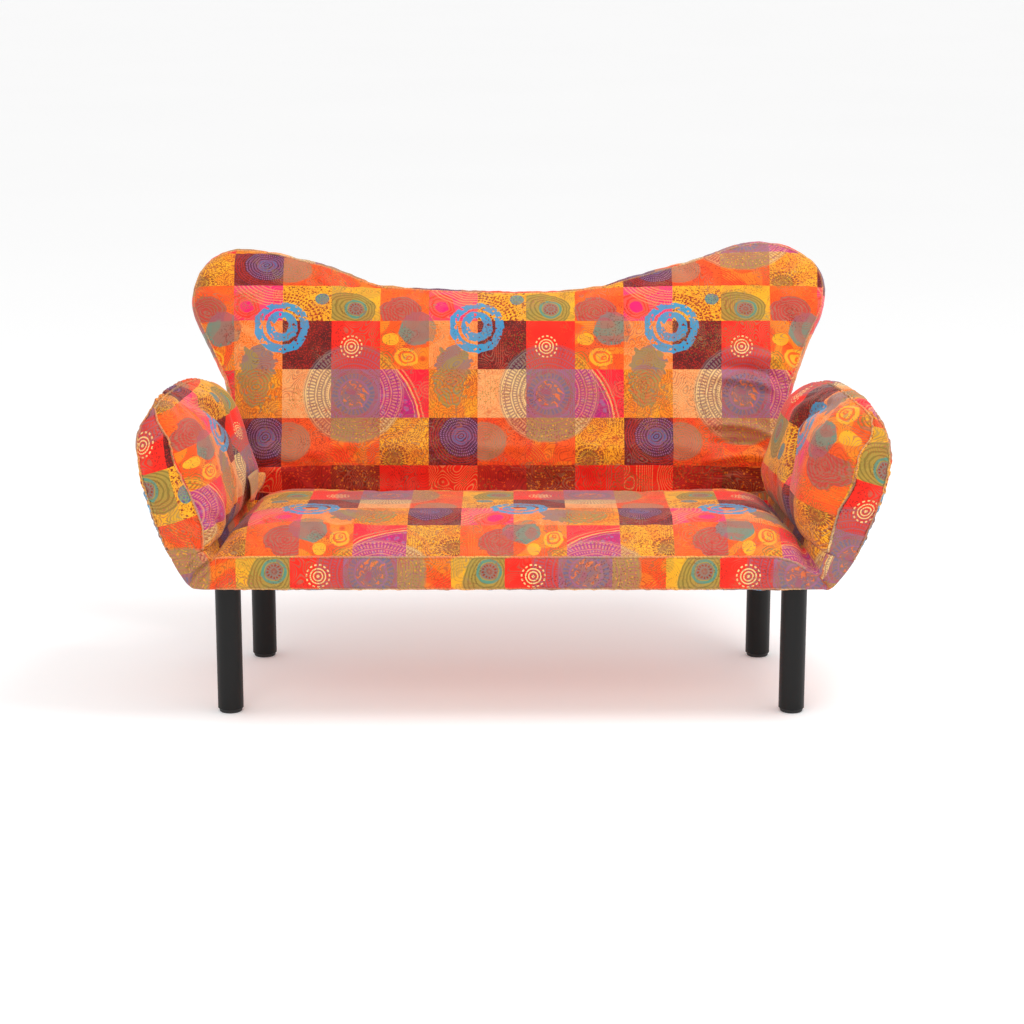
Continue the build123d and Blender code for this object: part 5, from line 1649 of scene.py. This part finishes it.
def lay_seams(name, cushion, lines, radius, seed):
    """Seams along the lines, which are world points with a flag for closed ones, on a finished cushion."""
    surface = BVHTree.FromPolygons([v.co for v in cushion.data.vertices],
                                   [p.vertices[:] for p in cushion.data.polygons])
    points, edges = [], []
    for line, closed in lines:
        first = len(points)
        for point in line:
            spot, normal, _, _ = surface.find_nearest(Vector(point))
            points.append(spot + normal * 0.0004)
        edges += [(k, k + 1) for k in range(first, len(points) - 1)]
        if closed:
            edges.append((len(points) - 1, first))
    mesh = bpy.data.meshes.new(name)
    mesh.from_pydata(points, edges, [])
    obj = bpy.data.objects.new(name, mesh)
    scene.collection.objects.link(obj)
    maker = obj.modifiers.new("seam", "NODES")
    maker.node_group = seam_tree
    # The cord gets the lighter copy of the cloth, a painted highlight along the seam's ridge.
    settings = {"Radius": radius, "Seed": seed, "Cloth": pale_side_and_seam_highlight_cloth, "Thread": thread_cotton}
    for label, value in settings.items():
        maker[seam_inputs[label]] = value
    made = plain(obj)
    prints = cushion.data.uv_layers["Cloth"].data
    spots = [surface.find_nearest(v.co)[2] for v in made.vertices]
    uv = [prints[cushion.data.polygons[index].loop_start].uv.copy() for index in spots]
    while made.uv_layers:
        made.uv_layers.remove(made.uv_layers[0])
    laid = made.uv_layers.new(name="Cloth")
    for corner in made.loops:
        laid.data[corner.index].uv = uv[corner.vertex_index]
    print(name, "faces:", len(made.polygons))
    return obj


seams = {
    "seat": lay_seams("seat_seams", seat_cushion, [(seam, False) for seam in seat_front_seams], 0.0027, 3),
    "back": lay_seams("back_seams", back_cushion, [(back_face_seam, True), (back_rear_seam, True)],
                      0.0020, 5),
}
for number, (side, cushion) in enumerate(arm_cushions.items()):
    sewn_lines = [(loop[arm_sewn], False) for loop in arm_seams[side]]
    seams[f"{side}_arm"] = lay_seams(f"{side}_arm_seams", cushion, sewn_lines, 0.0026, 11 + number)

# %% [markdown]
# At the left rear corner a loose tongue of cloth lies over the gap between the arm and the seat, with its
# lighter wrong side up. Three lines across it were drawn on the arm's panel: the edge that is sewn in, the
# middle and the free edge. The sheet between them is lifted clear of the arm, with a soft wave.

# %% Loose tongue
fixed_edge = smooth([(0.115, 0.30, 0.075), (0.085, 0.31, 0.070), (0.055, 0.33, 0.058)], 8)
middle = smooth([(0.110, 0.39, 0.083), (0.078, 0.385, 0.070), (0.047, 0.38, 0.056)], 8)
free_edge = smooth([(0.085, 0.47, 0.075), (0.060, 0.46, 0.060), (0.040, 0.42, 0.048)], 8)
tongue_net = np.stack([smooth([a, m, c], 14) for a, m, c in zip(fixed_edge, middle, free_edge)])
tongue_flat = tongue_net.reshape(-1, 3)
lift = 0.014 + 0.006 * np.sin(tongue_flat[:, 1] / 0.018) * np.clip((tongue_flat[:, 1] - 0.31) / 0.1, 0, 1)
tongue_flat[:, 2] = np.maximum(tongue_flat[:, 2], arm_face("left")(tongue_flat[:, :2]) + lift)
tongue_points = arm_panels["left"].world(tongue_flat)
wide = tongue_net.shape[1]
tongue_faces = [(i * wide + j, i * wide + j + 1, (i + 1) * wide + j + 1, (i + 1) * wide + j)
                for i in range(len(tongue_net) - 1) for j in range(wide - 1)]
tongue_mesh = bpy.data.meshes.new("corner_tongue")
tongue_mesh.from_pydata(tongue_points.tolist(), [], tongue_faces)
tongue_uv = tongue_mesh.uv_layers.new(name="Cloth")
tongue_print = arm_print("left")(tongue_flat[:, :2]) + 0.4
for corner in tongue_mesh.loops:
    tongue_uv.data[corner.index].uv = tongue_print[corner.vertex_index]
tongue = bpy.data.objects.new("corner_tongue", tongue_mesh)
scene.collection.objects.link(tongue)
print("tongue:", len(tongue_faces), "squares")

# %% [markdown]
# Solidify gives the tongue its thickness.

# %% Thicken the tongue


thick = tongue.modifiers.new("thick", "SOLIDIFY")
thick.thickness, thick.offset = 0.0014, 0.0
solid = plain(tongue)
solid.materials.clear()
solid.materials.append(pale_side_and_seam_highlight_cloth)
solid.polygons.foreach_set("use_smooth", [True] * len(solid.polygons))

# %% [markdown]
# The floor is matt paint, almost white. A little emission lifts it to the even white of a catalogue page, so
# that only the sofa's own soft shadow is left on it.

# %% Floor finish
PAINT, PAINT_LIGHTER = (0.93, 0.93, 0.93, 1), (0.96, 0.96, 0.96, 1)
floor_paint, b, shader = material("studio_floor", Roughness=0.9, Specular_IOR_Level=0.1)
spread = b.node("ShaderNodeTexCoord").outputs["Object"]
b.feed(shader.inputs["Base Color"], b.blend(b.noise(spread, 0.4), PAINT, PAINT_LIGHTER))
shader.inputs["Emission Color"].default_value = WHITE
shader.inputs["Emission Strength"].default_value = 0.14
floor_mesh.materials.append(floor_paint)
print("floor painted")

# %% [markdown]
# A cushion rides on its body and stands in for that body's cover, foam and pad, which are the same things in
# the CAD model, so those are hidden. A gusset has its place baked into its points and rides on no body. Seams
# ride on their cushions, and the tongue, a loose sheet, rides on the left arm.

# %% Ride and hide
pads = {"seat": "underpad", "back": "rear_pad", "left_arm": "outer_pad", "right_arm": "outer_pad"}
for obj, body in zip(cushions, ("seat", "back", "left_arm", "right_arm")):
    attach(obj, body)
    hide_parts(f"{body}_cover", f"{body}_foam", f"{body}_{pads[body]}")

# Two points of each gusset, 21.6 and 30 mm from its hinge line along the raised panel, are worked out but not
# used.
across, up = 0.301, 0.954
for body, (panel, piece) in zip(("left_arm", "right_arm", "back"), gussets.values()):
    tuple(panel.world((0.0216 * across, 0.0216 * up, 0)))
    tuple(panel.world((0.030 * across, 0.030 * up, 0)))
    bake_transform(piece)
for body, piece in seams.items():
    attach(piece, body)
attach(tongue, "left_arm")
